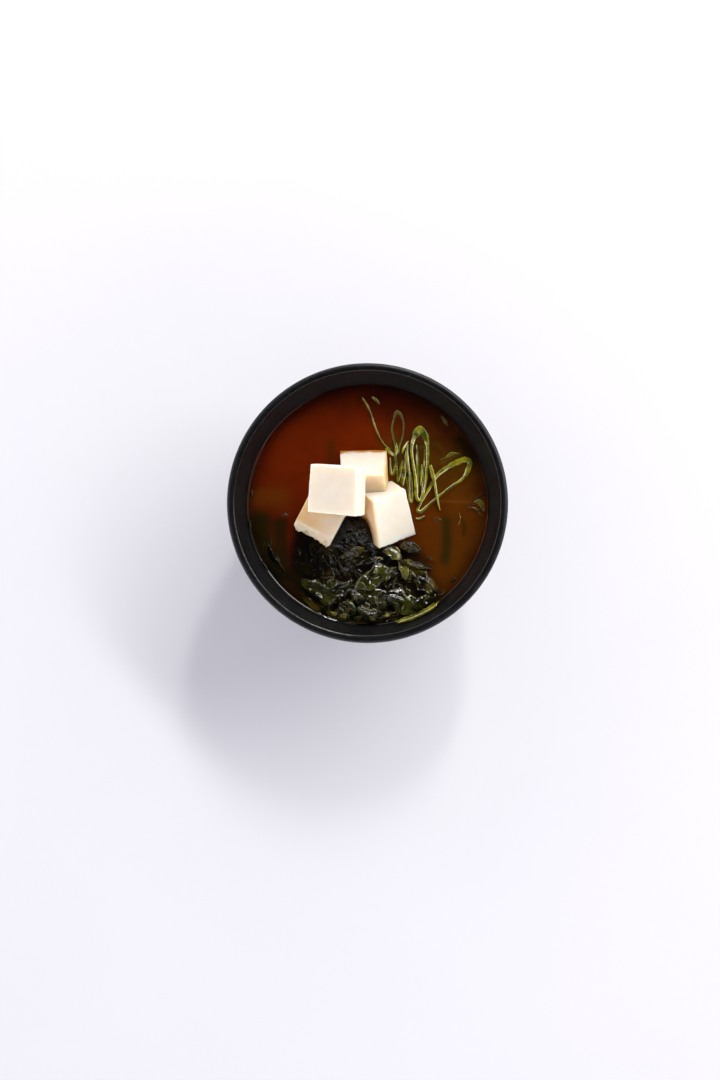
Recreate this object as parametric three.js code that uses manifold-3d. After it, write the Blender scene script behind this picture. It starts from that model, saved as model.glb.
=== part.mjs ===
// Miso soup in a black bowl with a foot ring. Four blocks of tofu are piled in the middle, wakame
// fills the front of the bowl and diagonal slices of scallion float at the back right.
// Millimetres, +Z up, origin at the middle of the foot ring's underside.

import * as THREE from "three";
import { mergeVertices } from "three/addons/utils/BufferGeometryUtils.js";
import Module from "manifold-3d";

const wasm = await Module();
wasm.setup();

// Driving dimensions
const GAP = 0.3; // clear distance kept between neighbouring pieces
const RIM_RADIUS = 60;
const BOWL_HEIGHT = 62;
const LIP_WIDTH = 3.4; // of the flat, rounded lip
const FOOT_RADIUS = 30;
const FOOT_HEIGHT = 5;
const SOUP_LEVEL = 50;
const SOUP_RADIUS = 51.7; // of the bowl's inside, at the level of the soup
const BOWL_SIDES = 54;
const LEAF_THICKNESS = 0.6;
const LEAF_SINK = 0.6; // how far a floating leaf's underside lies below the soup's level
const LEAF_STEP = 2.4; // between the points along a leaf
const SHRED_HEIGHT = 1.5; // of the green wall of a scallion slice

// ---------------------------------------------------------------- solids and materials

function solidOf(geometry) {
  const bare = geometry.clone();
  bare.deleteAttribute("normal");
  bare.deleteAttribute("uv");
  const merged = mergeVertices(bare, 1e-4);
  return new wasm.Manifold(
    new wasm.Mesh({
      numProp: 3,
      vertProperties: new Float32Array(merged.attributes.position.array),
      triVerts: new Uint32Array(merged.index.array),
    }),
  );
}

function geometryOf(solid) {
  const mesh = solid.getMesh();
  const geometry = new THREE.BufferGeometry();
  geometry.setAttribute("position", new THREE.BufferAttribute(new Float32Array(mesh.vertProperties), 3));
  geometry.setIndex(new THREE.BufferAttribute(new Uint32Array(mesh.triVerts), 1));
  geometry.computeVertexNormals();
  return geometry;
}

// The largest body of a solid that cuts may have left in several.
function largestOf(solid) {
  return solid.decompose().reduce((best, one) => (one.volume() > best.volume() ? one : best));
}

function seededRandom(seed) {
  let state = seed;
  return () => {
    state = (state * 1664525 + 1013904223) % 4294967296;
    return state / 4294967296;
  };
}

const food = new THREE.Group();

function add(name, solid, colour, roughness) {
  const material = new THREE.MeshStandardMaterial({ color: colour, roughness, metalness: 0 });
  const mesh = new THREE.Mesh(geometryOf(solid), material);
  mesh.name = name;
  food.add(mesh);
}

const BLACK_GLAZE = 0x1b1b1d;
const BROTH = 0x6b2400;
const TOFU_CREAM = 0xf1e6d3;
const WAKAME_DARK = 0x141a0e;
const WAKAME_GREEN = 0x2c3a12;
const WAKAME_OLIVE = 0x55601a;
const SCALLION_GREEN = 0x7d9a2a;

// ---------------------------------------------------------------- bowl

function turned(profile) {
  const points = profile.map(([radius, height]) => new THREE.Vector2(radius, height));
  return solidOf(new THREE.LatheGeometry(points, BOWL_SIDES).rotateX(Math.PI / 2));
}

// One half of the bowl's section, from the axis under the floor, round the rim, to the axis inside.
function bowlSolid() {
  const crease = RIM_RADIUS - LIP_WIDTH;
  return turned([
    [0, FOOT_HEIGHT - 1],
    [FOOT_RADIUS - 3.2, FOOT_HEIGHT - 1],
    [FOOT_RADIUS - 2.6, 0],
    [FOOT_RADIUS, 0],
    [FOOT_RADIUS + 0.8, FOOT_HEIGHT],
    [40.5, 13],
    [49, 26],
    [54.4, 41],
    [58, 53],
    [RIM_RADIUS, BOWL_HEIGHT - 1.6],
    [RIM_RADIUS - 0.4, BOWL_HEIGHT - 0.4],
    [RIM_RADIUS - 1.4, BOWL_HEIGHT],
    [crease + 0.7, BOWL_HEIGHT - 0.2],
    [crease, BOWL_HEIGHT - 0.9],
    [SOUP_RADIUS + 0.4, SOUP_LEVEL + 1],
    [SOUP_RADIUS, SOUP_LEVEL],
    [46.8, 36],
    [40, 23],
    [30, 13.5],
    [16, 9.2],
    [0, 8.4],
  ]);
}

// The soup fills the bowl to its level, a gap inside the wall.
function soupSolid() {
  return turned([
    [0, 8.4 + GAP],
    [16, 9.2 + GAP],
    [30 - GAP, 13.5 + GAP],
    [40 - GAP, 23 + GAP],
    [46.8 - GAP, 36 + GAP],
    [SOUP_RADIUS - GAP, SOUP_LEVEL],
    [0, SOUP_LEVEL],
  ]);
}

// ---------------------------------------------------------------- tofu

const BLOCK_LINES = [-1, -0.95, -0.35, 0.3, 0.95, 1]; // where a face is divided, closer at its edges
const BLOCK_ROUNDING = 0.035; // of half a side
const BLOCK_WAVE = 0.12; // how far the cut faces depart from flat

// Moves a cube's point in from the edges and corners, so that they are slightly round.
function roundedPoint(point) {
  const inner = point.clone().clampScalar(-1 + BLOCK_ROUNDING, 1 - BLOCK_ROUNDING);
  const out = point.clone().sub(inner);
  if (out.length() > 0) {
    out.setLength(BLOCK_ROUNDING);
  }
  return inner.add(out);
}

// A hand-cut block. face is its upper cut face as four corners in turn, seen from above against the
// clock, depth its thickness square to that face, lean how far the far side is shifted sideways,
// rough the height of the crumbs along its first side, and grow moves all sides out.
function tofuBlock({ face, depth, lean = [0, 0, 0], rough = 0, seed }, grow = 0) {
  const corners = face.map((corner) => new THREE.Vector3(...corner));
  const middle = corners.reduce((sum, corner) => sum.add(corner), new THREE.Vector3()).divideScalar(4);
  const down = corners[2].clone().sub(corners[0]).cross(corners[3].clone().sub(corners[1]));
  down.normalize().negate();
  const shift = down.clone().multiplyScalar(depth).add(new THREE.Vector3(...lean));
  const divisions = BLOCK_LINES.length - 1;
  const cube = new THREE.BoxGeometry(2, 2, 2, divisions, divisions, divisions);
  const position = cube.attributes.position;
  for (let i = 0; i < position.count; i += 1) {
    const lines = [position.getX(i), position.getY(i), position.getZ(i)].map(
      (value) => BLOCK_LINES[Math.round(((value + 1) / 2) * divisions)],
    );
    const at = roundedPoint(new THREE.Vector3(...lines));
    const [u, v, w] = [(at.x + 1) / 2, (at.y + 1) / 2, (1 - at.z) / 2];
    const nearSide = corners[0].clone().lerp(corners[1], u);
    const farSide = corners[3].clone().lerp(corners[2], u);
    const place = nearSide.lerp(farSide, v).addScaledVector(shift, w);
    const centre = middle.clone().addScaledVector(shift, 0.5);
    const away = place.clone().sub(centre);
    const wave = BLOCK_WAVE * Math.sin(place.x * 0.9 + seed) * Math.sin(place.y * 0.8 + seed * 2);
    const crumb = v < 0.02 ? rough * (0.5 + 0.5 * Math.sin(u * 23 + w * 11 + seed)) : 0;
    place.addScaledVector(away.normalize(), wave + crumb);
    place.addScaledVector(cubeSide(lines), grow);
    position.setXYZ(i, place.x, place.y, place.z);
  }
  return solidOf(cube);

  // The way out of the block at a point of the cube, summed over the sides that it lies on.
  function cubeSide([x, y, z]) {
    const along = corners[1].clone().sub(corners[0]).normalize();
    const across = corners[3].clone().sub(corners[0]).normalize();
    const outward = new THREE.Vector3();
    outward.addScaledVector(along, Math.abs(x) === 1 ? x : 0);
    outward.addScaledVector(across, Math.abs(y) === 1 ? y : 0);
    outward.addScaledVector(down, Math.abs(z) === 1 ? -z : 0);
    return outward;
  }
}

const TOFU = {
  // Leans on the pile's far side, with its big cut face to the front right.
  tofu_right: {
    face: [[5.1, -19.5, 57], [20.6, -12.8, 50.3], [16.1, 5.5, 59.6], [2.3, -0.3, 66.5]],
    depth: 19,
    lean: [0.6, 1, 0],
    seed: 1,
  },
  // A thinner slab on its edge, its broad face sloping down into the soup at the back.
  tofu_back: {
    face: [[-11.3, 11.2, 64], [6.8, 11.2, 64], [7.7, 25, 48.2], [-11.9, 25, 48.2]],
    depth: 9.6,
    lean: [1.3, 0, 0],
    seed: 2,
  },
  // Lies flat at the left, with a torn side to the front.
  tofu_left: {
    face: [[-30.5, -7.2, 58.9], [-15.1, -15.6, 58.9], [-6.4, 0.6, 59.3], [-21.8, 9.4, 59.3]],
    depth: 14,
    lean: [-1, -2, 0],
    rough: 0.7,
    seed: 3,
  },
  // The top block, tipped towards the front left.
  tofu_top: {
    face: [[-25, -5.2, 78.5], [-4.7, -7.9, 81.5], [-4.3, 11.4, 85.2], [-23.8, 13, 82.1]],
    depth: 19.3,
    seed: 4,
  },
};

// Each block is built, then cut back where it would come too near a block below it.
function tofuSolids() {
  const done = {};
  for (const [name, spec] of Object.entries(TOFU)) {
    let block = tofuBlock(spec);
    for (const below of Object.keys(done)) {
      block = block.subtract(tofuBlock(TOFU[below], GAP));
    }
    done[name] = largestOf(block);
  }
  return done;
}

// ---------------------------------------------------------------- what already lies in the bowl

// The height of everything laid so far, on square cells, so that the next piece rests on it.
const CELL = 0.7;
const CELLS = Math.ceil((2 * RIM_RADIUS) / CELL);
const laid = new Float32Array(CELLS * CELLS).fill(-Infinity);

function cellOf(value) {
  return Math.min(CELLS - 1, Math.max(0, Math.floor((value + RIM_RADIUS) / CELL)));
}

function raiseLaid({ x, y, z }) {
  const cell = cellOf(x) * CELLS + cellOf(y);
  laid[cell] = Math.max(laid[cell], z);
}

function highestLaid(x, y, reach) {
  let top = -Infinity;
  for (let i = cellOf(x - reach); i <= cellOf(x + reach); i += 1) {
    for (let j = cellOf(y - reach); j <= cellOf(y + reach); j += 1) {
      top = Math.max(top, laid[i * CELLS + j]);
    }
  }
  return top;
}

// Marks the upper side of a solid as laid, at points spread over each of its triangles.
function markLaid(solid) {
  const { vertProperties, triVerts } = solid.getMesh();
  const corner = (index) => new THREE.Vector3().fromArray(vertProperties, 3 * index);
  for (let t = 0; t < triVerts.length; t += 3) {
    const [a, b, c] = [0, 1, 2].map((k) => corner(triVerts[t + k]));
    const steps = Math.ceil(Math.max(a.distanceTo(b), b.distanceTo(c), c.distanceTo(a)) / (CELL * 0.6));
    for (let i = 0; i <= steps; i += 1) {
      for (let j = 0; j <= steps - i; j += 1) {
        const [u, v] = [i / steps, j / steps];
        const w = 1 - u - v;
        const at = a.clone().multiplyScalar(w).addScaledVector(b, u).addScaledVector(c, v);
        raiseLaid(at);
      }
    }
  }
}

// ---------------------------------------------------------------- wakame

// A leaf as rows of points across its length: a thin wavy sheet that drapes over what is below it.
// line is its midrib from stalk to tip, width its greatest width, ruffle the height of the waves
// along its edges, waves their number, and arch how high its middle stands.
function leafSheet({ line, width, ruffle = 0.7, waves = 3, arch = 0, seed, blunt = 0.25 }) {
  const midrib = new THREE.CatmullRomCurve3(line.map(([x, y]) => new THREE.Vector3(x, y, 0)));
  const rowCount = Math.max(5, Math.round(midrib.getLength() / LEAF_STEP));
  const random = seededRandom(seed + 7);
  const tilt = random() * 2 - 1;
  const rows = [];
  for (let i = 0; i <= rowCount; i += 1) {
    const t = i / rowCount;
    const point = midrib.getPointAt(t);
    const along = midrib.getTangentAt(t);
    const side = new THREE.Vector3(-along.y, along.x, 0);
    const half = (width / 2) * (blunt + (1 - blunt) * Math.sin(Math.PI * t) ** 0.7);
    rows.push(
      [-1, -0.5, 0, 0.5, 1].map((s) => {
        const edge = Math.abs(s) === 1 ? 1 + 0.16 * Math.sin(i * 1.9 + seed * 3 + s) : 1;
        const at = point.clone().addScaledVector(side, half * s * edge);
        const phase = 2 * Math.PI * waves * t + seed + s;
        const wave = ruffle * s * s * (0.5 + 0.5 * Math.sin(phase));
        const crown = arch * (1 - s * s) * Math.sin(Math.PI * t);
        at.z = wave + crown + ruffle * (0.3 + 0.25 * tilt * s);
        return at;
      }),
    );
  }
  return rows;
}

// Lowers a sheet on to the soup and on to what lies there, bridging over hollows like a wet leaf.
function drape(rows, sink) {
  const rest = rows.map((row) =>
    row.map((at) => Math.max(SOUP_LEVEL - sink, highestLaid(at.x, at.y, 1.1) + GAP)),
  );
  for (let pass = 0; pass < 5; pass += 1) {
    for (let i = 1; i < rest.length - 1; i += 1) {
      for (let j = 0; j < rest[i].length; j += 1) {
        rest[i][j] = Math.max(rest[i][j], (rest[i - 1][j] + rest[i + 1][j]) / 2 - 0.05);
      }
    }
  }
  return rows.map((row, i) => row.map((at, j) => new THREE.Vector3(at.x, at.y, at.z + rest[i][j])));
}

// The closed solid of a sheet: its lower and upper faces, split alike, and the edge round them.
function sheetSolid(rows, thickness, grow = 0) {
  const across = rows[0].length;
  const vertices = [];
  const faces = [];
  for (const lift of [-grow, thickness + grow]) {
    rows.forEach((row, i) => {
      const next = rows[Math.min(i + 1, rows.length - 1)][2];
      const last = rows[Math.max(i - 1, 0)][2];
      const along = next.clone().sub(last).setZ(0).normalize();
      const end = i === 0 ? -grow : i === rows.length - 1 ? grow : 0;
      row.forEach((at, j) => {
        const edge = j === 0 ? -grow : j === across - 1 ? grow : 0;
        const x = at.x - along.y * edge + along.x * end;
        const y = at.y + along.x * edge + along.y * end;
        vertices.push(x, y, at.z + lift);
      });
    });
  }
  const upper = rows.length * across;
  for (let i = 0; i < rows.length - 1; i += 1) {
    for (let j = 0; j < across - 1; j += 1) {
      const [a, b] = [i * across + j, (i + 1) * across + j];
      const [c, d] = [b + 1, a + 1];
      faces.push(a, c, b, a, d, c);
      faces.push(upper + a, upper + b, upper + c, upper + a, upper + c, upper + d);
    }
  }
  for (const [a, b] of borderOf(rows.length, across)) {
    faces.push(a, b, upper + b, a, upper + b, upper + a);
  }
  const geometry = new THREE.BufferGeometry();
  geometry.setAttribute("position", new THREE.Float32BufferAttribute(vertices, 3));
  geometry.setIndex(faces);
  return solidOf(geometry);
}

// The pairs of points along a grid's border, in the direction that turns its edge faces outwards.
function borderOf(rowCount, across) {
  const loop = [];
  for (let i = 0; i < rowCount - 1; i += 1) {
    loop.push(i * across);
  }
  for (let j = 0; j < across - 1; j += 1) {
    loop.push((rowCount - 1) * across + j);
  }
  for (let i = rowCount - 1; i > 0; i -= 1) {
    loop.push(i * across + across - 1);
  }
  for (let j = across - 1; j > 0; j -= 1) {
    loop.push(j);
  }
  return loop.map((a, k) => [a, loop[(k + 1) % loop.length]]);
}

// The heap's core: a lumpy mound against the tofu that runs out into a low mat at the bowl's front.
const HEAP_MIDDLE = [-2, -28];
const HEAP_REACH = [26, 22, 15, 16, 23, 24, 20, 27, 29, 25, 23, 22, 21.8, 23, 26.5, 32.5]; // round from +X
const HEAP_SECTORS = 30;
const HEAP_RINGS = 8;
const HEAP_BASE = 43;
const MOUND = { x: -4.6, y: -10.5, height: 9.6, radius: 10.2 };

function heapReach(angle) {
  const turn = ((angle / (2 * Math.PI)) * HEAP_REACH.length + HEAP_REACH.length) % HEAP_REACH.length;
  const from = Math.floor(turn);
  const part = (1 - Math.cos((turn - from) * Math.PI)) / 2;
  return HEAP_REACH[from] * (1 - part) + HEAP_REACH[(from + 1) % HEAP_REACH.length] * part;
}

function heapTop(x, y, share) {
  const mound = MOUND.height * Math.exp(-(((x - MOUND.x) ** 2 + (y - MOUND.y) ** 2) / MOUND.radius ** 2));
  const crinkle = Math.sin(x * 0.9 + Math.sin(y * 0.7) * 1.5) * Math.sin(y * 0.8 + x * 0.3);
  const edge = Math.sqrt(Math.max(0, 1 - share ** 4));
  return SOUP_LEVEL - 1.5 + (2 + mound + crinkle * (0.6 + mound * 0.12)) * edge;
}

function heapCore(grow = 0) {
  const vertices = [];
  const faces = [];
  const [midX, midY] = HEAP_MIDDLE;
  for (let ring = 1; ring <= HEAP_RINGS; ring += 1) {
    for (let k = 0; k < HEAP_SECTORS; k += 1) {
      const angle = (2 * Math.PI * k) / HEAP_SECTORS;
      const share = ring / HEAP_RINGS;
      const reach = (heapReach(angle) + grow) * share;
      const [x, y] = [midX + reach * Math.cos(angle), midY + reach * Math.sin(angle)];
      vertices.push(x, y, heapTop(x, y, share) + grow);
    }
  }
  const lowerRing = vertices.length / 3;
  for (let k = 0; k < HEAP_SECTORS; k += 1) {
    const angle = (2 * Math.PI * k) / HEAP_SECTORS;
    const reach = heapReach(angle) * 0.86 + grow;
    vertices.push(midX + reach * Math.cos(angle), midY + reach * Math.sin(angle), HEAP_BASE - grow);
  }
  const topMiddle = vertices.length / 3;
  vertices.push(midX, midY, heapTop(midX, midY, 0) + grow);
  vertices.push(midX, midY, HEAP_BASE - grow);
  for (let k = 0; k < HEAP_SECTORS; k += 1) {
    const next = (k + 1) % HEAP_SECTORS;
    faces.push(topMiddle, k, next);
    for (let ring = 0; ring < HEAP_RINGS; ring += 1) {
      const [near, far] = [ring * HEAP_SECTORS, (ring + 1) * HEAP_SECTORS];
      faces.push(near + k, far + k, far + next, near + k, far + next, near + next);
    }
    faces.push(topMiddle + 1, lowerRing + next, lowerRing + k);
  }
  const geometry = new THREE.BufferGeometry();
  geometry.setAttribute("position", new THREE.Float32BufferAttribute(vertices, 3));
  geometry.setIndex(faces);
  return solidOf(geometry);
}

// Small crinkled leaves stand out of the core all over, thickest on the mound.
const CRINKLES = 6;

function crinkleRows(index) {
  const random = seededRandom(index * 31 + 5);
  const turn = index * 2.4;
  const away = 1.5 + index * 0.9;
  const x = MOUND.x - 1 + away * Math.cos(turn);
  const y = MOUND.y - 6 + away * Math.sin(turn) * 0.8;
  const heading = random() * Math.PI;
  const half = 3 + 2 * random();
  const [stepX, stepY] = [Math.cos(heading) * half, Math.sin(heading) * half];
  const bend = 0.6 * (random() - 0.5);
  const line = [
    [x - stepX, y - stepY],
    [x - stepY * bend, y + stepX * bend],
    [x + stepX, y + stepY],
  ];
  const rows = leafSheet({ line, width: 3.5 + 2 * random(), ruffle: 1.8, waves: 2, seed: index });
  return rows.map((row) => row.map((at) => at.clone().setZ(at.z + heapTop(at.x, at.y, 0.4) - 0.7)));
}

function heapSolid(grow = 0) {
  let heap = heapCore(grow);
  for (let index = 0; index < CRINKLES; index += 1) {
    heap = heap.add(sheetSolid(crinkleRows(index), LEAF_THICKNESS, grow));
  }
  return heap;
}

// Leaves that lie apart or can be told apart, from the lowest up.
const LEAVES = {
  leaf_left_edge: { line: [[-43.6, -15.8], [-42, -21.8], [-39.4, -26.2], [-36, -29.6]], width: 4, seed: 1 },
  leaf_left_inner: { line: [[-24.3, -17.2], [-22.4, -20.8], [-17.6, -24.4]], width: 4, seed: 2 },
  leaf_left_low: { line: [[-32, -25.4], [-27, -27.4], [-22.6, -30.6]], width: 6, waves: 4, seed: 3 },
  leaf_front_left: { line: [[-22.6, -41], [-18, -43.2], [-12.4, -44.6]], width: 4.6, seed: 4 },
  leaf_keeled: {
    line: [[-26.8, -33.2], [-21.7, -35.9], [-16.9, -37.6], [-11.8, -36.5], [-6.6, -33.2]],
    width: 7,
    ruffle: 1,
    waves: 4,
    seed: 5,
  },
  leaf_middle: { line: [[-6, -27], [1, -26.4], [9.6, -23.8]], width: 6, ruffle: 0.8, seed: 6 },
  leaf_broad: {
    line: [[-7, -38], [-1.4, -40.2], [4.1, -40.8], [9.6, -40.6]],
    width: 11,
    arch: 0.5,
    seed: 7,
  },
  leaf_triangle: {
    line: [[-4.6, -35.8], [2, -32.4], [6.3, -30.2], [11.6, -28.4]],
    width: 8,
    arch: 0.4,
    seed: 8,
  },
  leaf_front_right: { line: [[8.4, -38.4], [13, -41], [17.4, -42.6], [22.4, -42]], width: 8, seed: 9 },
  leaf_rim_right: { line: [[19.4, -44], [23.6, -41.9], [27.1, -38.8], [29.9, -35.2]], width: 4.6, seed: 10 },
  leaf_folded: { line: [[-8, -40.6], [-7.8, -44.4], [-8.8, -48.2]], width: 7.6, arch: 0.5, seed: 11 },
  leaf_curl: { line: [[-3.6, -44.4], [-1.2, -46.4], [1.5, -47.2], [5.4, -46]], width: 4.4, seed: 12 },
  leaf_highlit: {
    line: [[16.6, -28.2], [20.4, -31.6], [24.9, -35.2], [29, -37.6]],
    width: 8,
    ruffle: 0.9,
    waves: 4,
    seed: 13,
  },
  leaf_pod: { line: [[13.6, -23], [15.6, -27], [16.4, -32]], width: 4.2, ruffle: 0.8, seed: 14 },
  leaf_pale: { line: [[7, -20.6], [11, -20.6], [13.6, -23.6]], width: 6, ruffle: 0.7, seed: 15 },
  leaf_dark_right: { line: [[14.2, -18.6], [18.2, -18.4], [22.4, -19.8]], width: 4.6, ruffle: 0.8, seed: 16 },
  leaf_strip: { line: [[13.4, -25.4], [17.6, -25.2], [22.3, -26.4], [27.3, -27.2]], width: 3, seed: 17 },
};
const LEAF_COLOURS = {
  leaf_pod: WAKAME_OLIVE,
  leaf_pale: WAKAME_OLIVE,
  leaf_curl: WAKAME_OLIVE,
  leaf_triangle: WAKAME_GREEN,
  leaf_keeled: WAKAME_GREEN,
};

// ---------------------------------------------------------------- scallion

// Slices across a hollow green leaf at a slant: long narrow rings, some cut open into strips. Each
// point is [x, y, width]. A shred floats half sunk, or lies on the shreds below it. sink is how far
// its underside lies below the soup's level, and rise how far it stuck to the bowl's wall above that.
const SHREDS = {
  scallion_ring_back: {
    closed: true,
    sink: 1.2,
    points: [
      [12.9, 40.3, 1.3], [11.4, 37, 0.8], [10.6, 33.4, 0.6], [11, 30, 0.7], [12, 26.2, 0.8],
      [12.9, 22.8, 1.1], [14, 26.2, 0.7], [15.3, 30.5, 0.5], [15.5, 34.6, 0.6], [14.7, 38.3, 0.9],
    ],
  },
  scallion_strand: {
    sink: 1.1,
    points: [
      [-2.3, 46.6, 0.8], [-0.6, 44, 1], [1.1, 40.5, 0.6], [3.2, 34.2, 0.7], [5.3, 29.2, 0.6],
      [7.6, 25.8, 0.6], [10, 23.9, 0.5],
    ],
  },
  scallion_chip_back: { sink: 1.1, points: [[1.9, 46.9, 0.7], [4, 45.2, 1.3], [5.3, 43.6, 0.6]] },
  scallion_chip_edge: { sink: 0.9, points: [[32, 38.6, 0.7], [33.4, 36.4, 1.3], [34.8, 34.4, 0.7]] },
  scallion_hook: {
    sink: 0.8,
    points: [[9.7, 20.4, 0.7], [9.8, 16.8, 0.8], [10.4, 13.2, 0.9], [11.6, 14.6, 0.9], [12.4, 18.1, 0.8]],
  },
  scallion_strip_1: { sink: 1, points: [[14.7, 18.4, 1.1], [14.2, 14.2, 1.3], [13.6, 10.6, 1]] },
  scallion_strip_2: { sink: 1, points: [[16.5, 19.2, 0.8], [16, 13.4, 1.1], [15.4, 8.9, 0.9]] },
  scallion_ring_inner: {
    points: [
      [17.3, 26.3, 1], [17.2, 22.9, 0.9], [17.4, 18.8, 0.9], [18, 12.6, 0.8], [18, 6.4, 0.8],
      [18.3, 2, 0.9], [19, 1.2, 0.9], [19.4, 2.6, 0.8], [19.4, 8.1, 0.7], [19, 14, 0.6],
    ],
  },
  scallion_ring_right: {
    closed: true,
    points: [
      [21.7, -2.6, 1.1], [22.6, 0.2, 0.8], [24.3, 3.1, 0.9], [27.5, 8.5, 1], [29.9, 12.6, 1.2],
      [34.1, 16, 1.5], [38.2, 18.3, 1.6], [42.6, 19.9, 1.8], [44.3, 18.5, 1.5], [44.2, 15.7, 1.2],
      [41.5, 11.8, 1], [36.5, 8.1, 0.9], [29.9, 3.1, 0.8], [24.4, -1.8, 1], [22.9, -3.1, 1.1],
    ],
  },
  scallion_ring_large: {
    closed: true,
    points: [
      [23.3, 33.2, 2.3], [25.4, 30, 1.8], [26, 25.6, 1.3], [26, 20.9, 1.1], [25.5, 14.3, 1],
      [25, 9.3, 0.9], [24, 5, 0.9], [22.6, 1.8, 1], [21.4, 2.4, 1.1], [20.9, 8.5, 1.1],
      [20.5, 12.6, 1.1], [19.5, 19, 1], [19, 24.2, 1], [19.8, 28.4, 1.4], [21.5, 31.8, 2],
    ],
  },
  scallion_strip_3: { sink: 1, points: [[23.4, 17.4, 0.7], [23.3, 13.3, 0.8], [22.9, 8.4, 0.7]] },
  scallion_strand_right: {
    points: [[27, 17, 1.5], [28, 13.4, 1.8], [28.9, 9.6, 1], [29.9, 3, 0.8], [31.2, -2.4, 0.7]],
  },
  scallion_strip_low: { sink: 1.2, points: [[20.8, -5.9, 0.8], [22.6, -6, 0.7], [24.6, -4.9, 0.7]] },
  scallion_tip_edge: {
    sink: 0.9,
    points: [[45.9, 1.2, 0.8], [48.2, 1.2, 2], [49.6, -0.3, 1.9], [50.1, -3, 0.8]],
  },
  scallion_sliver: {
    rise: 5.2,
    points: [[12.8, -51.3, 0.8], [19.1, -49.3, 1], [24.6, -46.8, 1], [29.5, -43.7, 0.8]],
  },
};
const SHRED_SIDES = 6;
const SHRED_STEP = 2.2; // along its length

// The shred's middle line as [place, width] stations, resting on what is laid already.
function shredStations({ points, closed = false, sink = 0.8, rise = 0 }) {
  const curve = new THREE.CatmullRomCurve3(
    points.map(([x, y, width]) => new THREE.Vector3(x, y, width)),
    closed,
  );
  const count = Math.max(6, Math.round(curve.getLength() / SHRED_STEP));
  const stations = [];
  for (let i = 0; i < count + (closed ? 0 : 1); i += 1) {
    const at = curve.getPointAt(i / count);
    const float = SOUP_LEVEL + rise + SHRED_HEIGHT / 2 - sink;
    const below = highestLaid(at.x, at.y, at.z / 2 + 0.3) + GAP + 0.1 + SHRED_HEIGHT / 2;
    stations.push({ place: new THREE.Vector3(at.x, at.y, Math.max(float, below)), width: at.z });
  }
  for (let pass = 0; pass < 6; pass += 1) {
    stations.forEach((station, i) => {
      const before = stations[(i - 1 + stations.length) % stations.length];
      const after = stations[(i + 1) % stations.length];
      if (closed || (i > 0 && i < stations.length - 1)) {
        station.place.z = Math.max(station.place.z, (before.place.z + after.place.z) / 2 - 0.12);
      }
    });
  }
  return stations;
}

function shredSolid(stations, closed, grow = 0) {
  const count = stations.length;
  const vertices = [];
  const faces = [];
  stations.forEach(({ place, width }, i) => {
    const after = stations[closed ? (i + 1) % count : Math.min(i + 1, count - 1)].place;
    const before = stations[closed ? (i - 1 + count) % count : Math.max(i - 1, 0)].place;
    const along = after.clone().sub(before).setZ(0).normalize();
    const end = closed ? 0 : i === 0 ? -grow : i === count - 1 ? grow : 0;
    for (let k = 0; k < SHRED_SIDES; k += 1) {
      const angle = (2 * Math.PI * (k + 0.5)) / SHRED_SIDES;
      const out = Math.cos(angle) * (width / 2 + grow);
      const rise = Math.sin(angle) * (SHRED_HEIGHT / 2 + grow);
      const x = place.x - along.y * out + along.x * end;
      const y = place.y + along.x * out + along.y * end;
      vertices.push(x, y, place.z + rise);
    }
  });
  const links = closed ? count : count - 1;
  for (let i = 0; i < links; i += 1) {
    for (let k = 0; k < SHRED_SIDES; k += 1) {
      const [a, b] = [i * SHRED_SIDES + k, i * SHRED_SIDES + ((k + 1) % SHRED_SIDES)];
      const next = ((i + 1) % count) * SHRED_SIDES;
      const [c, d] = [next + ((k + 1) % SHRED_SIDES), next + k];
      faces.push(a, b, c, a, c, d);
    }
  }
  if (!closed) {
    const last = (count - 1) * SHRED_SIDES;
    for (let k = 1; k < SHRED_SIDES - 1; k += 1) {
      faces.push(0, k + 1, k);
      faces.push(last, last + k, last + k + 1);
    }
  }
  const geometry = new THREE.BufferGeometry();
  geometry.setAttribute("position", new THREE.Float32BufferAttribute(vertices, 3));
  geometry.setIndex(faces);
  return solidOf(geometry);
}

// ---------------------------------------------------------------- putting the soup together

const tofu = tofuSolids();
const tofuRoom = Object.values(TOFU)
  .map((spec) => tofuBlock(spec, GAP))
  .reduce((room, block) => room.add(block));
const bowl = bowlSolid();
let soup = soupSolid().subtract(tofuRoom);

add("bowl", bowl, BLACK_GLAZE, 0.55);
for (const [name, block] of Object.entries(tofu)) {
  add(name, block, TOFU_CREAM, 0.6);
}

const heap = largestOf(heapSolid().subtract(tofuRoom));
add("wakame_heap", heap, WAKAME_DARK, 0.3);
soup = soup.subtract(heapSolid(GAP));
markLaid(heap);

for (const [name, spec] of Object.entries(LEAVES)) {
  const rows = drape(leafSheet(spec), LEAF_SINK);
  const leaf = largestOf(sheetSolid(rows, LEAF_THICKNESS).subtract(tofuRoom));
  add(name, leaf, LEAF_COLOURS[name] ?? WAKAME_DARK, 0.25);
  markLaid(leaf);
  soup = soup.subtract(sheetSolid(rows, LEAF_THICKNESS, GAP));
}

for (const [name, spec] of Object.entries(SHREDS)) {
  const stations = shredStations(spec);
  const shred = largestOf(shredSolid(stations, spec.closed).subtract(tofuRoom));
  add(name, shred, SCALLION_GREEN, 0.35);
  markLaid(shred);
  soup = soup.subtract(shredSolid(stations, spec.closed, GAP));
}

add("soup", largestOf(soup), BROTH, 0.1);

export default food;
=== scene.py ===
import math
import random

import bpy
import numpy as np
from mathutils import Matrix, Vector, noise
from mathutils.bvhtree import BVHTree
from mathutils.kdtree import KDTree


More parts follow.
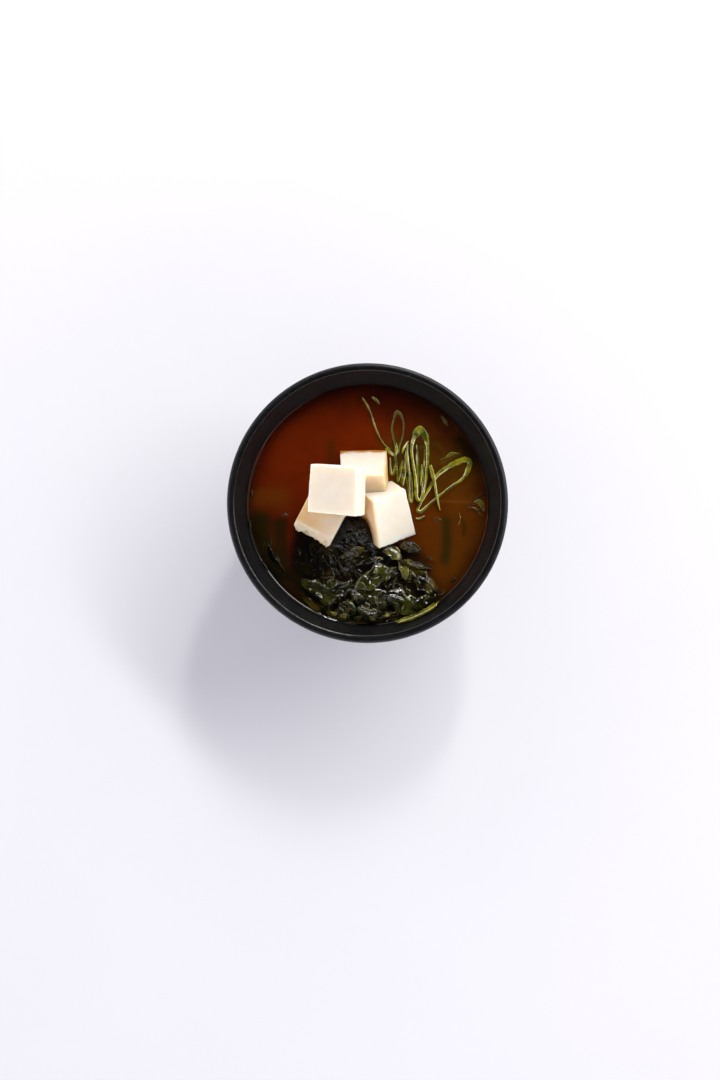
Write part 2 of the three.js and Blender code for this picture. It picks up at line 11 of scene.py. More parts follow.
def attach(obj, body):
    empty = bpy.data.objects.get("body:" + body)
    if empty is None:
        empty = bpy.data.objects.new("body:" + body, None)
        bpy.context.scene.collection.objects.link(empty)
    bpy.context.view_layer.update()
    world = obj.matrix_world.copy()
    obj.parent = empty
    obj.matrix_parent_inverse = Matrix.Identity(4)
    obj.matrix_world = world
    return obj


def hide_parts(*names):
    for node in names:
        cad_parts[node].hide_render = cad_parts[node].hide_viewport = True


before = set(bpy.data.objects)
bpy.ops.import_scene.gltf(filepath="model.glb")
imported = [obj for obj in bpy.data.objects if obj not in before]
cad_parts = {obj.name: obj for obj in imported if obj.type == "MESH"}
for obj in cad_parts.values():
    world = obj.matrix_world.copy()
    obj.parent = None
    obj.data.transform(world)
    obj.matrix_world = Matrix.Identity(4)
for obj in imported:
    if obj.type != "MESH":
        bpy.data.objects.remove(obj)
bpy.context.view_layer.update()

# ---------------------------------------------------------------- table top and daylight
# The bowl stands on a white laminate table. A tall narrow lamp behind it stands for the window and
# casts the clear edge of its shadow. A long thin one, behind it at its right, fills in and gives the wet
# glints. The room is bright low down all round and dark overhead.

MM = 0.001
TABLE_SIDE = 6.0
WINDOW_WAY = (0.5, 0.866, 0.0)
SHADED_WALL, WINDOW_WALL = 3.4, 3.1  # how bright the room is on either side
WALLS_MEET = 0.45  # cosine, either way from the middle, over which one turns into the other
WALL_TOP, CEILING = 0.36, 0.64  # sines of the elevations between which it goes dark
OVERHEAD = 0.012  # what is left of its light there
CAMERA_PLACE = (-0.003196, -0.104144, 1.143718)
CAMERA_LEAN = 4.65  # degrees from straight down
SMOOTH = {"interpolation_type": "SMOOTHSTEP"}
OF_COLOURS = {"data_type": "RGBA"}

scene = bpy.context.scene
scene.view_settings.view_transform = "Standard"


def srgb(colour):
    """A hex colour as linear red, green, blue and alpha."""
    parts = [int(colour[k : k + 2], 16) / 255 for k in (1, 3, 5)]
    return [p / 12.92 if p <= 0.04045 else ((p + 0.055) / 1.055) ** 2.4 for p in parts] + [1.0]


def add_node(tree, kind, settings=None, inputs=None):
    """Adds a shader node. An input is a value for its socket, or the output that is linked to it."""
    made = tree.nodes.new("ShaderNode" + kind)
    for key, value in (settings or {}).items():
        setattr(made, key, value)
    for key, value in (inputs or {}).items():
        if isinstance(value, bpy.types.NodeSocket):
            tree.links.new(value, made.inputs[key])
        else:
            made.inputs[key].default_value = value
    return made


def new_material(name):
    made = bpy.data.materials.new(name)
    made.use_nodes = True
    made.node_tree.nodes.clear()
    return made


def new_piece(name, vertices, faces, material):
    """A smooth-shaded mesh object from points in millimetres."""
    mesh = bpy.data.meshes.new(name)
    mesh.from_pydata((np.asarray(vertices, float) * MM).tolist(), [], faces)
    mesh.materials.append(material)
    mesh.shade_smooth()
    made = bpy.data.objects.new(name, mesh)
    scene.collection.objects.link(made)
    return made


def soft_light(name, azimuth, elevation, distance, width, height, power, colour):
    """A rectangular lamp aimed at the bowl. Its azimuth is counted from +X towards +Y."""
    turn, lift = math.radians(azimuth), math.radians(elevation)
    way = Vector((math.cos(turn) * math.cos(lift), math.sin(turn) * math.cos(lift), math.sin(lift)))
    lamp = bpy.data.lights.new(name, "AREA")
    lamp.shape = "RECTANGLE"
    lamp.size = width
    lamp.size_y = height
    lamp.energy = power
    lamp.color = srgb(colour)[:3]
    made = bpy.data.objects.new(name, lamp)
    made.location = way * distance + Vector((0, 0, 0.05))
    made.rotation_euler = way.to_track_quat("Z", "Y").to_euler()
    scene.collection.objects.link(made)


soft_light(
    "window_lamp",
    azimuth=76,
    elevation=37.7,
    distance=2.0,
    width=0.16,
    height=0.40,
    power=10.5,
    colour="#fffdf8",
)
soft_light(
    "side_lamp",
    azimuth=41,
    elevation=43,
    distance=1.7,
    width=1.7,
    height=0.18,
    power=16.5,
    colour="#fffcf8",
)

room = bpy.data.worlds.new("pale_room")
scene.world = room
room.use_nodes = True
tree = room.node_tree
tree.nodes.clear()
ray = add_node(tree, "TexCoord").outputs["Generated"]
height = add_node(tree, "SeparateXYZ", inputs={0: ray}).outputs["Z"]
towards_window = add_node(tree, "VectorMath", {"operation": "DOT_PRODUCT"}, {0: ray, 1: WINDOW_WAY})
walls = add_node(
    tree,
    "MapRange",
    SMOOTH,
    {
        "Value": towards_window.outputs["Value"],
        "From Min": -WALLS_MEET,
        "From Max": WALLS_MEET,
        "To Min": SHADED_WALL,
        "To Max": WINDOW_WALL,
    },
)
below_ceiling = add_node(
    tree,
    "MapRange",
    SMOOTH,
    {"Value": height, "From Min": WALL_TOP, "From Max": CEILING, "To Min": 1.0, "To Max": OVERHEAD},
)
glow = add_node(tree, "Math", {"operation": "MULTIPLY"}, {0: walls.outputs[0], 1: below_ceiling.outputs[0]})
sky = add_node(tree, "Background", inputs={"Color": srgb("#f1f0fa"), "Strength": glow.outputs[0]})
add_node(tree, "OutputWorld", inputs={"Surface": sky.outputs[0]})

white_laminate = new_material("white_laminate")
tree = white_laminate.node_tree
place = add_node(tree, "TexCoord").outputs["Object"]
# A print of soft clouds, 80 mm across, keeps the sheet from looking flat.
clouds = add_node(tree, "TexNoise", inputs={"Vector": place, "Scale": 12.0, "Detail": 2.0})
tone = add_node(tree, "Mix", OF_COLOURS, {0: clouds.outputs[0], 6: srgb("#e9e9ec"), 7: srgb("#edecef")})
shader = add_node(
    tree, "BsdfPrincipled", inputs={"Base Color": tone.outputs[2], "Roughness": 0.6, "IOR": 1.45}
)
add_node(tree, "OutputMaterial", inputs={"Surface": shader.outputs[0]})

half = TABLE_SIDE / 2 / MM
corners = [(-half, -half, 0), (half, -half, 0), (half, half, 0), (-half, half, 0)]
table = new_piece("table_top", corners, [(0, 1, 2, 3)], white_laminate)

camera = bpy.data.cameras.new("camera")
camera.lens = 85
camera.sensor_width = 36
camera.clip_end = 20
stand = bpy.data.objects.new("camera", camera)
stand.location = CAMERA_PLACE
stand.rotation_euler = (math.radians(CAMERA_LEAN), 0, 0)
scene.collection.objects.link(stand)
scene.camera = stand

# ---------------------------------------------------------------- bowl
# A soup bowl thrown in stoneware on a foot ring, with a flat rounded lip, and fired in a black glaze
# that stays matt: its crystals leave a fine pebbled skin, rubbed smoother along the lip's two edges.

SOUP_LEVEL = 50.0
BOWL_SIDES = 320
LIP_HEIGHT = 60.2  # where the lip begins
RUBBED_BANDS = ((57.0, 0.55), (59.9, 0.3))  # radius and half width on the lip


def curve_through(points, closed=False, per_span=16):
    """Points along a centripetal Catmull-Rom curve through the given ones, in as many dimensions."""
    points = np.array(points, float)
    count = len(points)
    made = []
    for k in range(count if closed else count - 1):
        b, c = points[k], points[(k + 1) % count]
        a = points[k - 1] if closed or k > 0 else 2 * b - c
        d = points[(k + 2) % count] if closed or k + 2 < count else 2 * c - b
        before, here, after = (max(np.linalg.norm(q - p), 1e-6) ** 0.5 for p, q in ((a, b), (b, c), (c, d)))
        leave = ((b - a) / before - (c - a) / (before + here) + (c - b) / here) * here
        arrive = ((c - b) / here - (d - b) / (here + after) + (d - c) / after) * here
        u = (np.arange(per_span) / per_span)[:, None]
        made.append(
            (2 * u**3 - 3 * u**2 + 1) * b
            + (u**3 - 2 * u**2 + u) * leave
            + (3 * u**2 - 2 * u**3) * c
            + (u**3 - u**2) * arrive
        )
    made = np.concatenate(made)
    return made if closed else np.vstack([made, points[-1]])


def ring_faces(sides, rings, from_below=False):
    """The faces of a closed surface made of a pole, rings of points and another pole, in that order.

    They face outwards where the first pole is the upper one, and with from_below where it is the lower.
    """
    faces = []
    last = 1 + sides * rings
    for k in range(sides):
        n = (k + 1) % sides
        column = [(0, 1 + k, 1 + n)]
        for ring in range(rings - 1):
            near, far = 1 + ring * sides, 1 + (ring + 1) * sides
            column.append((near + k, far + k, far + n, near + n))
        column.append((last - sides + k, last, last - sides + n))
        faces += [face[:1] + face[:0:-1] if from_below else face for face in column]
    return faces


def paint(piece, attribute, values):
    """Gives each point of a piece a value that its material reads."""
    layer = piece.data.attributes.new(attribute, "FLOAT", "POINT")
    layer.data.foreach_set("value", np.asarray(values, np.float32).ravel())


# Radius and height along the foot ring, the outside, the lip and the inside.
profile = np.vstack(
    [
        [(0, 4.0), (26.6, 4.0), (26.8, 3.8), (27.35, 0.15), (27.6, 0), (29.8, 0), (30.0, 0.2)],
        curve_through([(30.8, 4.9), (33.0, 6.6), (40.5, 13), (49, 26), (54.4, 41), (58, 53)], per_span=6),
        curve_through([(58.0, 53.1), (59.7, 59.4), (60.0, 60.7), (59.7, 61.5), (58.8, 62.0)], per_span=6)[1:],
        [(58.2, 62.0), (57.5, 61.88)],
        curve_through([(57.1, 61.75), (56.75, 61.5), (56.5, 61.0), (56.2, 60.3)], per_span=5),
        [(54.2, 55.8), (52.6, 52.2), (52.1, 51.0)],
        curve_through([(51.7, 50), (46.8, 36), (40, 23), (30, 13.5), (16, 9.2), (0.4, 8.4)], per_span=3),
        [(0, 8.4)],
    ]
)
black_glaze = new_material("black_matt_glaze")
tree = black_glaze.node_tree
place = add_node(tree, "TexCoord").outputs["Object"]
# The glaze's crystals are about 0.3 mm, drawn 0.8 mm wide so that they show as pebbles, with their glints
# painted into the colour as pale specks.
# Smears of about 6 mm, left by wiping, are a little glossier.
grain = add_node(
    tree, "TexNoise", inputs={"Vector": place, "Scale": 1300.0, "Detail": 3.0, "Roughness": 0.7}
)
smears = add_node(tree, "TexNoise", inputs={"Vector": place, "Scale": 160.0, "Detail": 3.0})
glint_speck = add_node(tree, "MapRange", SMOOTH, {"Value": grain.outputs[0], "From Min": 0.60, "From Max": 0.74})
tone = add_node(tree, "Mix", OF_COLOURS, {0: glint_speck.outputs[0], 6: srgb("#0c0c0d"), 7: srgb("#34343a")})
satin = add_node(
    tree,
    "MapRange",
    inputs={"Value": smears.outputs[0], "From Min": 0.35, "From Max": 0.7, "To Min": 0.30, "To Max": 0.46},
)
rubbed = add_node(tree, "Attribute", {"attribute_name": "rubbed"}).outputs["Fac"]
shine = add_node(tree, "Mix", inputs={0: rubbed, 2: satin.outputs[0], 3: 0.1})
relief = add_node(tree, "Bump", inputs={"Height": grain.outputs[0], "Strength": 0.4, "Distance": 0.00012})
shader = add_node(
    tree,
    "BsdfPrincipled",
    inputs={
        "Base Color": tone.outputs[2],
        "Roughness": shine.outputs[0],
        "IOR": 1.5,
        "Specular IOR Level": 0.3,
        "Normal": relief.outputs[0],
    },
)
add_node(tree, "OutputMaterial", inputs={"Surface": shader.outputs[0]})

angles = 2 * np.pi * np.arange(BOWL_SIDES) / BOWL_SIDES
around = np.stack([np.cos(angles), np.sin(angles)], axis=1)
rings = [np.column_stack([around * radius, np.full(BOWL_SIDES, high)]) for radius, high in profile[1:-1]]
vertices = np.vstack([[(0, 0, profile[0][1])], *rings, [(0, 0, profile[-1][1])]])
bowl = new_piece("bowl_glazed", vertices, ring_faces(BOWL_SIDES, len(rings), from_below=True), black_glaze)
out = np.linalg.norm(vertices[:, :2], axis=1)
edges = sum(np.exp(-(((out - radius) / wide) ** 2)) for radius, wide in RUBBED_BANDS)
paint(bowl, "rubbed", np.where(vertices[:, 2] > LIP_HEIGHT, np.minimum(edges, 1), 0))
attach(bowl, "root")
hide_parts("bowl")

# ---------------------------------------------------------------- tofu
# Four blocks of firm silken tofu, cut by hand with a wet blade: smooth moist faces with a few pores,
# edges that crumble a little, and one side of the left block torn instead of cut.

# Each has its upper face's corners from the front left, its depth along that face's normal and how far its
# foot leans from there. The stained entry says how golden a side is, named by its axis and direction, at its
# top and foot, or of the upper face at its right and left: partly broth stain, partly painted warm light
# bounced into the shaded sides. Torn is about how far the side under the first two corners stands out in torn
# curd, and steeped is how much the broth colours the waterline.
TOFU = {
    "tofu_right": {
        "face": [(5.1, -19.5, 57), (20.9, -12.8, 50.3), (16.2, 5.6, 59.6), (2.3, -0.1, 66.5)],
        "depth": 19.0,
        "lean": (0.4, 2.0, 0),
        "stained_and_warm_lit": {(0, -1): (0.45, 1.35)},
        "steeped": 0.2,
    },
    "tofu_back": {
        "face": [(-11.3, 11.2, 64), (7.0, 11.2, 64), (8.6, 25.6, 48.2), (-11.9, 25.2, 48.2)],
        "depth": 9.6,
        "lean": (1.2, 0, 0),
        "stained_and_warm_lit": {(1, -1): (0.45, 0.5), (2, 1): (0.06, 0.06), (1, 1): (0.8, 0.9), (0, 1): (0.7, 0.9)},
    },
    "tofu_left": {
        "face": [(-30.5, -7.2, 58.9), (-15.1, -15.6, 58.9), (-6.4, 0.6, 59.3), (-21.8, 9.4, 59.3)],
        "depth": 14.0,
        "lean": (-1, -2, 0),
        "stained_and_warm_lit": {(2, 1): (0.2, 0.8), (1, -1): (0.3, 0.9)},
        "torn": 3.2,
    },
    "tofu_top": {
        "face": [(-25.2, -5.6, 78.5), (-4.9, -7.9, 81.5), (-4.4, 12.5, 85.2), (-24.0, 14.1, 82.1)],
        "depth": 19.3,
        "lean": (0.6, -1.0, 0),
    },
}
CUTS = 44  # divisions along each edge of a block
EDGE_ROUNDING = 0.035  # of half a side
CHIPPED_RIM = 0.07  # of half a side, from an edge, where crumbs are missing
CHIP_DEPTH = 1.1
TORN_RIM = 0.86  # of half a side, from where on the torn side's points move
LIFTED_DEPTH = 0.11  # of the block's depth, over which the tear runs out at the top


def cube_grid(count):
    """Points and faces of a cube from -1 to 1, divided more closely towards its edges."""
    t = np.linspace(-1, 1, count + 1)
    t = np.sign(t) * (1 - (1 - np.abs(t)) ** 1.5)
    index, points, faces = {}, [], []

    def point(place):
        key = tuple(round(v, 6) for v in place)
        if key not in index:
            index[key] = len(points)
            points.append(place)
        return index[key]

    for axis in range(3):
        for side in (-1, 1):
            for i in range(count):
                for j in range(count):
                    ring = [(t[i], t[j]), (t[i + 1], t[j]), (t[i + 1], t[j + 1]), (t[i], t[j + 1])]
                    face = []
                    for u, v in ring:
                        place = [0.0, 0.0, 0.0]
                        place[axis], place[(axis + 1) % 3], place[(axis + 2) % 3] = side, u, v
                        face.append(point(place))
                    faces.append(tuple(face if side > 0 else face[::-1]))
    return np.array(points), faces


def tofu_points(cube, face, depth, seed, lean=(0, 0, 0), torn=0.0):
    """Bends a cube's points to a cut block, rounds its edges and tears its first side."""
    corners = np.array(face, float)
    middle = corners.mean(axis=0)
    down = -np.cross(corners[2] - corners[0], corners[3] - corners[1])
    down /= np.linalg.norm(down)
    shift = down * depth + np.array(lean, float)
    made = []
    for at in cube:
        inner = np.clip(at, EDGE_ROUNDING - 1, 1 - EDGE_ROUNDING)
        out = at - inner
        length = np.linalg.norm(out)
        if length > 0:
            at = inner + out * (EDGE_ROUNDING / length)
        u, v, w = (at[0] + 1) / 2, (at[1] + 1) / 2, (1 - at[2]) / 2
        near = corners[0] * (1 - u) + corners[1] * u
        far = corners[3] * (1 - u) + corners[2] * u
        place = near * (1 - v) + far * v + shift * w
        away = place - (middle + shift / 2)
        away /= np.linalg.norm(away)
        spot = Vector(place) * 0.16 + Vector((seed * 9.1, 0, 0))
        wave = 0.22 * noise.noise(spot) + 0.05 * noise.noise(spot * 6)
        rim = np.sort(np.abs(at))[1]  # near 1 along the block's edges
        crumbling = max(0.0, noise.noise(spot * 5 + Vector((3, 0, 0))) - 0.1)
        chip = max(0.0, rim - 1 + CHIPPED_RIM) / CHIPPED_RIM * crumbling
        place = place + away * (wave - CHIP_DEPTH * chip)
        if torn and at[1] < -TORN_RIM:
            spot = Vector(place)
            lump = noise.noise(spot * 0.34) + 0.7 * noise.noise(spot * 0.9 + Vector((5, 0, 0)))
            crumb = 0.35 * noise.noise(spot * 2.2)
            below = min(1.0, w / LIFTED_DEPTH)
            bulge = 0.8 * below * (1 - 0.3 * w) - 0.1 + 0.55 * lump * (0.4 + 0.6 * below) + 0.5 * crumb
            flare = torn * max(bulge, 0.25 * below) * min(1.0, (-at[1] - TORN_RIM) / 0.08)
            place = place + (near - far) / np.linalg.norm(near - far) * flare
        made.append(place)
    return np.array(made)


silken_tofu = new_material("silken_tofu")
tree = silken_tofu.node_tree
place = add_node(tree, "TexCoord").outputs["Object"]
# Whey pores of about 0.5 mm, and cloudy curd of about 4 mm. Light goes some millimetres into it.
pores = add_node(tree, "TexNoise", inputs={"Vector": place, "Scale": 1900.0, "Detail": 2.0})
curd = add_node(tree, "TexNoise", inputs={"Vector": place, "Scale": 240.0, "Detail": 3.0})
cream = add_node(tree, "Mix", OF_COLOURS, {0: curd.outputs[0], 6: srgb("#e3d9c6"), 7: srgb("#ebe4d4")})
# Golden share: partly broth stain, partly painted warm light in the shaded sides.
stain_and_warm_light = add_node(tree, "Attribute", {"attribute_name": "stain_and_warm_light"}).outputs["Fac"]
stained_and_warm_lit = add_node(tree, "Mix", OF_COLOURS, {0: stain_and_warm_light, 6: cream.outputs[2], 7: srgb("#e6b86a")})
# Broth soaks a millimetre or two up from the waterline.
level = add_node(tree, "SeparateXYZ", inputs={0: place}).outputs["Z"]
soaked_to = add_node(
    tree,
    "Math",
    {"operation": "MULTIPLY_ADD"},
    {0: curd.outputs[0], 1: 3.4 * MM, 2: (SOUP_LEVEL - 0.4) * MM},
)
height = add_node(tree, "Math", {"operation": "SUBTRACT"}, {0: level, 1: soaked_to.outputs[0]})
steeped = add_node(tree, "Attribute", {"attribute_name": "steeped"}).outputs["Fac"]
soak = add_node(
    tree,
    "MapRange",
    SMOOTH,
    {
        "Value": height.outputs[0],
        "From Min": -0.8 * MM,
        "From Max": 1.0 * MM,
        "To Min": steeped,
        "To Max": 0.0,
    },
)
tone = add_node(tree, "Mix", OF_COLOURS, {0: soak.outputs[0], 6: stained_and_warm_lit.outputs[2], 7: srgb("#c9741c")})
relief = add_node(tree, "Bump", inputs={"Height": pores.outputs[0], "Strength": 0.12, "Distance": 0.00025})
shader = add_node(
    tree,
    "BsdfPrincipled",
    {"subsurface_method": "RANDOM_WALK"},
    {
        "Base Color": tone.outputs[2],
        "Roughness": 0.42,
        "IOR": 1.38,
        "Subsurface Weight": 1.0,
        "Subsurface Radius": (1.0, 0.66, 0.38),
        "Subsurface Scale": 0.0055,
        "Normal": relief.outputs[0],
    },
)
add_node(tree, "OutputMaterial", inputs={"Surface": shader.outputs[0]})

cube, cube_faces = cube_grid(CUTS)
garnish = []  # all that dips into the soup
for seed, (node_name, spec) in enumerate(TOFU.items(), 1):
    sides, steeping = spec.pop("stained_and_warm_lit", {}), spec.pop("steeped", 1.0)
    block = new_piece(node_name + "_block", tofu_points(cube, seed=seed, **spec), cube_faces, silken_tofu)
    # How golden each side is painted: broth stain and painted warm bounced light.
    amount = np.zeros(len(cube))
    for (axis, side), (upper, lower) in sides.items():
        on_side = np.clip((cube[:, axis] * side - 0.9) / 0.08, 0, 1)
        share = (1 - cube[:, 2]) / 2 if axis < 2 else (1 - cube[:, 0]) / 2
        amount = np.maximum(amount, on_side * (upper + (lower - upper) * share))
    blotches = [0.95 + 0.5 * noise.noise(Vector(v.co) / MM * 0.3) for v in block.data.vertices]
    paint(block, "stain_and_warm_light", np.clip(amount * blotches, 0, 1))
    paint(block, "steeped", np.full(len(cube), steeping))
    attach(block, "root")
    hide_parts(node_name)
    garnish.append(block)

# ---------------------------------------------------------------- wakame
# Soaked wakame: thin slippery blades of seaweed, nearly black where they lie heaped, with painted shade round
# the mound, and olive at their raised edges, painted paler for light coming through them. They float in a
# mat, and a knot of them leans on the tofu.

LEAF_THICKNESS = 0.3
WALL_RADIUS = 52.0
WALL_CLIMB = 1.3
CLIMB_REACH = 2.05  # a little less than the 2.7 mm over which water bends to a wall
LEAF_CREASES = 2.0  # size of the wrinkles in a leaf
ROLL_START = 0.78  # from where on, across a blade, its raised edge rolls over


def broth_level(x, y):
    """The open surface of the broth, which climbs where it wets the wall."""
    return SOUP_LEVEL + WALL_CLIMB * math.exp((math.hypot(x, y) - WALL_RADIUS) / CLIMB_REACH)


def surface_of(pieces):
    """The pieces as one surface in millimetres, to look up how high they come."""
    points, polygons = [], []
    for piece in pieces:
        start = len(points)
        points += [Vector(v.co) / MM for v in piece.data.vertices]
        polygons += [tuple(start + index for index in p.vertices) for p in piece.data.polygons]
    return BVHTree.FromPolygons(points, polygons)


def height_on(surface, x, y, otherwise=None):
    """How high the surface comes there. Beside it, that is otherwise, or its nearest point's height."""
    hit = surface.ray_cast(Vector((x, y, 200)), Vector((0, 0, -1)))[0]
    if hit is None and otherwise is not None:
        return otherwise
    if hit is None:
        hit = surface.find_nearest(Vector((x, y, SOUP_LEVEL + 2)))[0]
    return hit.z


def along_line(points, step, closed=False):
    """Places spaced evenly along a curve, and its direction at each."""
    curve = curve_through(points, closed)
    if closed:
        curve = np.vstack([curve, curve[0]])
    lengths = np.concatenate([[0], np.cumsum(np.linalg.norm(np.diff(curve, axis=0), axis=1))])
    count = max(8, round(lengths[-1] / step))
    at = np.linspace(0, lengths[-1], count + 1)[: count if closed else None]
    places = np.stack([np.interp(at, lengths, curve[:, k]) for k in range(curve.shape[1])], axis=1)
    ways = np.roll(places, -1, axis=0) - np.roll(places, 1, axis=0)
    if not closed:
        ways[0], ways[-1] = places[1] - places[0], places[-1] - places[-2]
    ways = ways[:, :2] / np.linalg.norm(ways[:, :2], axis=1)[:, None]
    return places, ways


def smoothed(heights, passes):
    """A grid of heights, evened out with the neighbours of each a number of times."""
    for _ in range(passes):
        padded = np.pad(heights, 1, mode="edge")
        beside = padded[:-2, 1:-1] + padded[2:, 1:-1] + padded[1:-1, :-2] + padded[1:-1, 2:]
        heights = (padded[1:-1, 1:-1] * 2 + beside) / 6
    return heights


def creases(x, y, size, seed):
    """Soft crests of a wet sheet's wrinkles, from 0 in the hollows to about 1."""
    spot = Vector((x / size, y / size, seed * 7.3))
    bend = noise.noise(spot * 0.6) * 1.2
    crest = 1 - abs(noise.noise(spot + Vector((bend, -bend, 0)))) * 2.6
    return max(0.0, crest) ** 1.5


def distance_to_line(points, line):
    """The distance of each point to a bent line, in plan."""
    best = np.full(len(points), np.inf)
    line = np.array(line, float)
    for a, b in zip(line, line[1:]):
        way = b - a
        share = np.clip(((points - a) @ way) / (way @ way), 0, 1)[:, None]
        best = np.minimum(best, np.linalg.norm(points - (a + share * way), axis=1))
    return best


def blade_grid(
    line,
    width,
    seed,
    base,
    step=0.33,
    across=19,
    arch=0.8,
    wrinkle=0.24,
    ripple=0.25,
    blunt=0.08,
    folds=(),
    lobes=0.5,
    within=WALL_RADIUS - 0.5,
):
    """A blade's upper side as rows of points, with its olive tone at each of them.

    It lies on the heights that base gives, low on the right of its line and raised on the left, where
    its edge ripples and rolls over. It has a rounded fold along each line of folds, given as
    (points, height, half width), and stays within a distance of the bowl's axis.
    """
    places, ways = along_line(line, step)
    shares = np.sin(np.linspace(-np.pi / 2, np.pi / 2, across))
    rows = np.zeros((len(places), across, 3))
    tones = np.zeros((len(places), across))
    for i, (place, way) in enumerate(zip(places, ways)):
        t = i / (len(places) - 1)
        half = width / 2 * (blunt + (1 - blunt) * math.sin(math.pi * t) ** 0.8)
        for j, s in enumerate(shares):
            spot = Vector((place[0] * 0.3, place[1] * 0.3, seed * 3.7 + (2.0 if s > 0 else 0.0)))
            ragged = 1 + (lobes * noise.noise(spot) + 0.2 * lobes * noise.noise(spot * 3.7)) * abs(s)
            offset = half * s * ragged
            x, y = place[0] - way[1] * offset, place[1] + way[0] * offset
            inward = min(1.0, within / math.hypot(x, y))
            x, y = x * inward, y * inward
            rows[i, j] = (x, y, base(x, y))
    rows[:, :, 2] = smoothed(rows[:, :, 2], 8)
    rises = np.zeros(tones.shape)
    for points, high, wide in folds:
        away = distance_to_line(rows[:, :, :2].reshape(-1, 2), points).reshape(tones.shape)
        rises = np.maximum(rises, high * np.exp(-((away / wide) ** 2)))
    for i in range(len(places)):
        t = i / (len(places) - 1)
        fade = math.sin(math.pi * (0.08 + 0.84 * t)) ** 0.5
        wave = noise.noise(Vector((i * step / 2.6, seed * 5.3, 0.5)))
        wave += 0.3 * noise.noise(Vector((i * step / 1.0, seed * 5.3, 4.5)))
        for j, s in enumerate(shares):
            x, y, _ = rows[i, j]
            side = (s + 1) / 2
            roll = max(0.0, (side - ROLL_START) / (1 - ROLL_START)) ** 2
            bow = arch * fade * (side**1.3 - 0.35 - 0.9 * roll)
            rise = rises[i, j] * (1 + 0.3 * noise.noise(Vector((x * 0.8, y * 0.8, seed))))
            crease = wrinkle * (creases(x, y, LEAF_CREASES, seed) - 0.4)
            rows[i, j, 2] += bow + rise + ripple * wave * side * side + crease
            mottle = noise.noise(Vector((x * 0.2, y * 0.2, seed * 5.0)))
            # The raised, rolled edge is painted paler olive, for light coming through it.
            tones[i, j] = min(1.0, max(0.0, 0.32 + 1.3 * mottle + 0.35 * roll))
    return rows, tones


def blade(line, width, seed, base, tone=1.0, thickness=LEAF_THICKNESS, **form):
    """A thin closed blade: its vertices, faces and olive tones, upper side first."""
    rows, tones = blade_grid(line, width, seed, base, **form)
    length, across = rows.shape[:2]
    upper = rows.reshape(-1, 3)
    vertices = np.vstack([upper, upper - (0, 0, thickness)])
    lower = len(upper)
    faces = []
    for i in range(length - 1):
        for j in range(across - 1):
            a, b = i * across + j, (i + 1) * across + j
            faces.append((a, b, b + 1, a + 1))
            faces.append((lower + a, lower + a + 1, lower + b + 1, lower + b))
    border = [i * across for i in range(length)]
    border += [(length - 1) * across + j for j in range(1, across)]
    border += [i * across + across - 1 for i in range(length - 2, -1, -1)]
    border += list(range(across - 2, 0, -1))
    for a, b in zip(border, border[1:] + border[:1]):
        faces.append((a, lower + a, lower + b, b))
    return vertices, faces, np.tile(tones.ravel() * tone, 2)


def joined(parts):
    """Several (vertices, faces, tones) as one."""
    vertices, faces, tones, start = [], [], [], 0
    for part_vertices, part_faces, part_tones in parts:
        vertices.append(part_vertices)
        faces += [tuple(start + index for index in face) for face in part_faces]
        tones.append(np.asarray(part_tones, float).ravel())
        start += len(part_vertices)
    return np.vstack(vertices), faces, np.concatenate(tones)


def wakame_material(name, dark, olive, level):
    """Soaked blade: waxy and wet, so that it mirrors the lamps in thin lines along its folds."""
    made = new_material(name)
    tree = made.node_tree
    place = add_node(tree, "TexCoord").outputs["Object"]
    tone = add_node(tree, "Attribute", {"attribute_name": "tone"}).outputs["Fac"]
    # Wrinkles in a blade's skin are about 1 mm apart, and its olive shows in spots of 2 mm.
    wrinkles = add_node(tree, "TexNoise", inputs={"Vector": place, "Scale": 900.0, "Detail": 2.0})
    mottle = add_node(
        tree, "TexNoise", inputs={"Vector": place, "Scale": 500.0, "Detail": 3.0, "Distortion": 1.0}
    )
    lift = add_node(
        tree,
        "Math",
        {"operation": "MULTIPLY_ADD", "use_clamp": True},
        {0: mottle.outputs[0], 1: 1.6, 2: -0.2},
    )
    share = add_node(
        tree, "Math", {"operation": "MULTIPLY", "use_clamp": True}, {0: tone, 1: lift.outputs[0]}
    )
    colour = add_node(tree, "Mix", OF_COLOURS, {0: share.outputs[0], 6: srgb(dark), 7: srgb(olive)})
    relief = add_node(
        tree, "Bump", inputs={"Height": wrinkles.outputs[0], "Strength": 0.2, "Distance": 0.00015}
    )
    shader = add_node(
        tree,
        "BsdfPrincipled",
        inputs={
            "Base Color": colour.outputs[2],
            "Roughness": 0.12,
            "IOR": 1.5,
            "Specular IOR Level": level,
            "Subsurface Weight": 0.3,
            "Subsurface Radius": (1.0, 1.0, 0.25),
            "Subsurface Scale": 0.0006,
            "Normal": relief.outputs[0],
        },
    )
    add_node(tree, "OutputMaterial", inputs={"Surface": shader.outputs[0]})
    return made


wakame_dark = wakame_material("wakame_dark", "#0b0904", "#463c0a", 0.26)
wakame_green = wakame_material("wakame_green", "#0f0d03", "#52560c", 0.7)
wakame_olive = wakame_material("wakame_olive", "#1c1a06", "#928a38", 0.8)

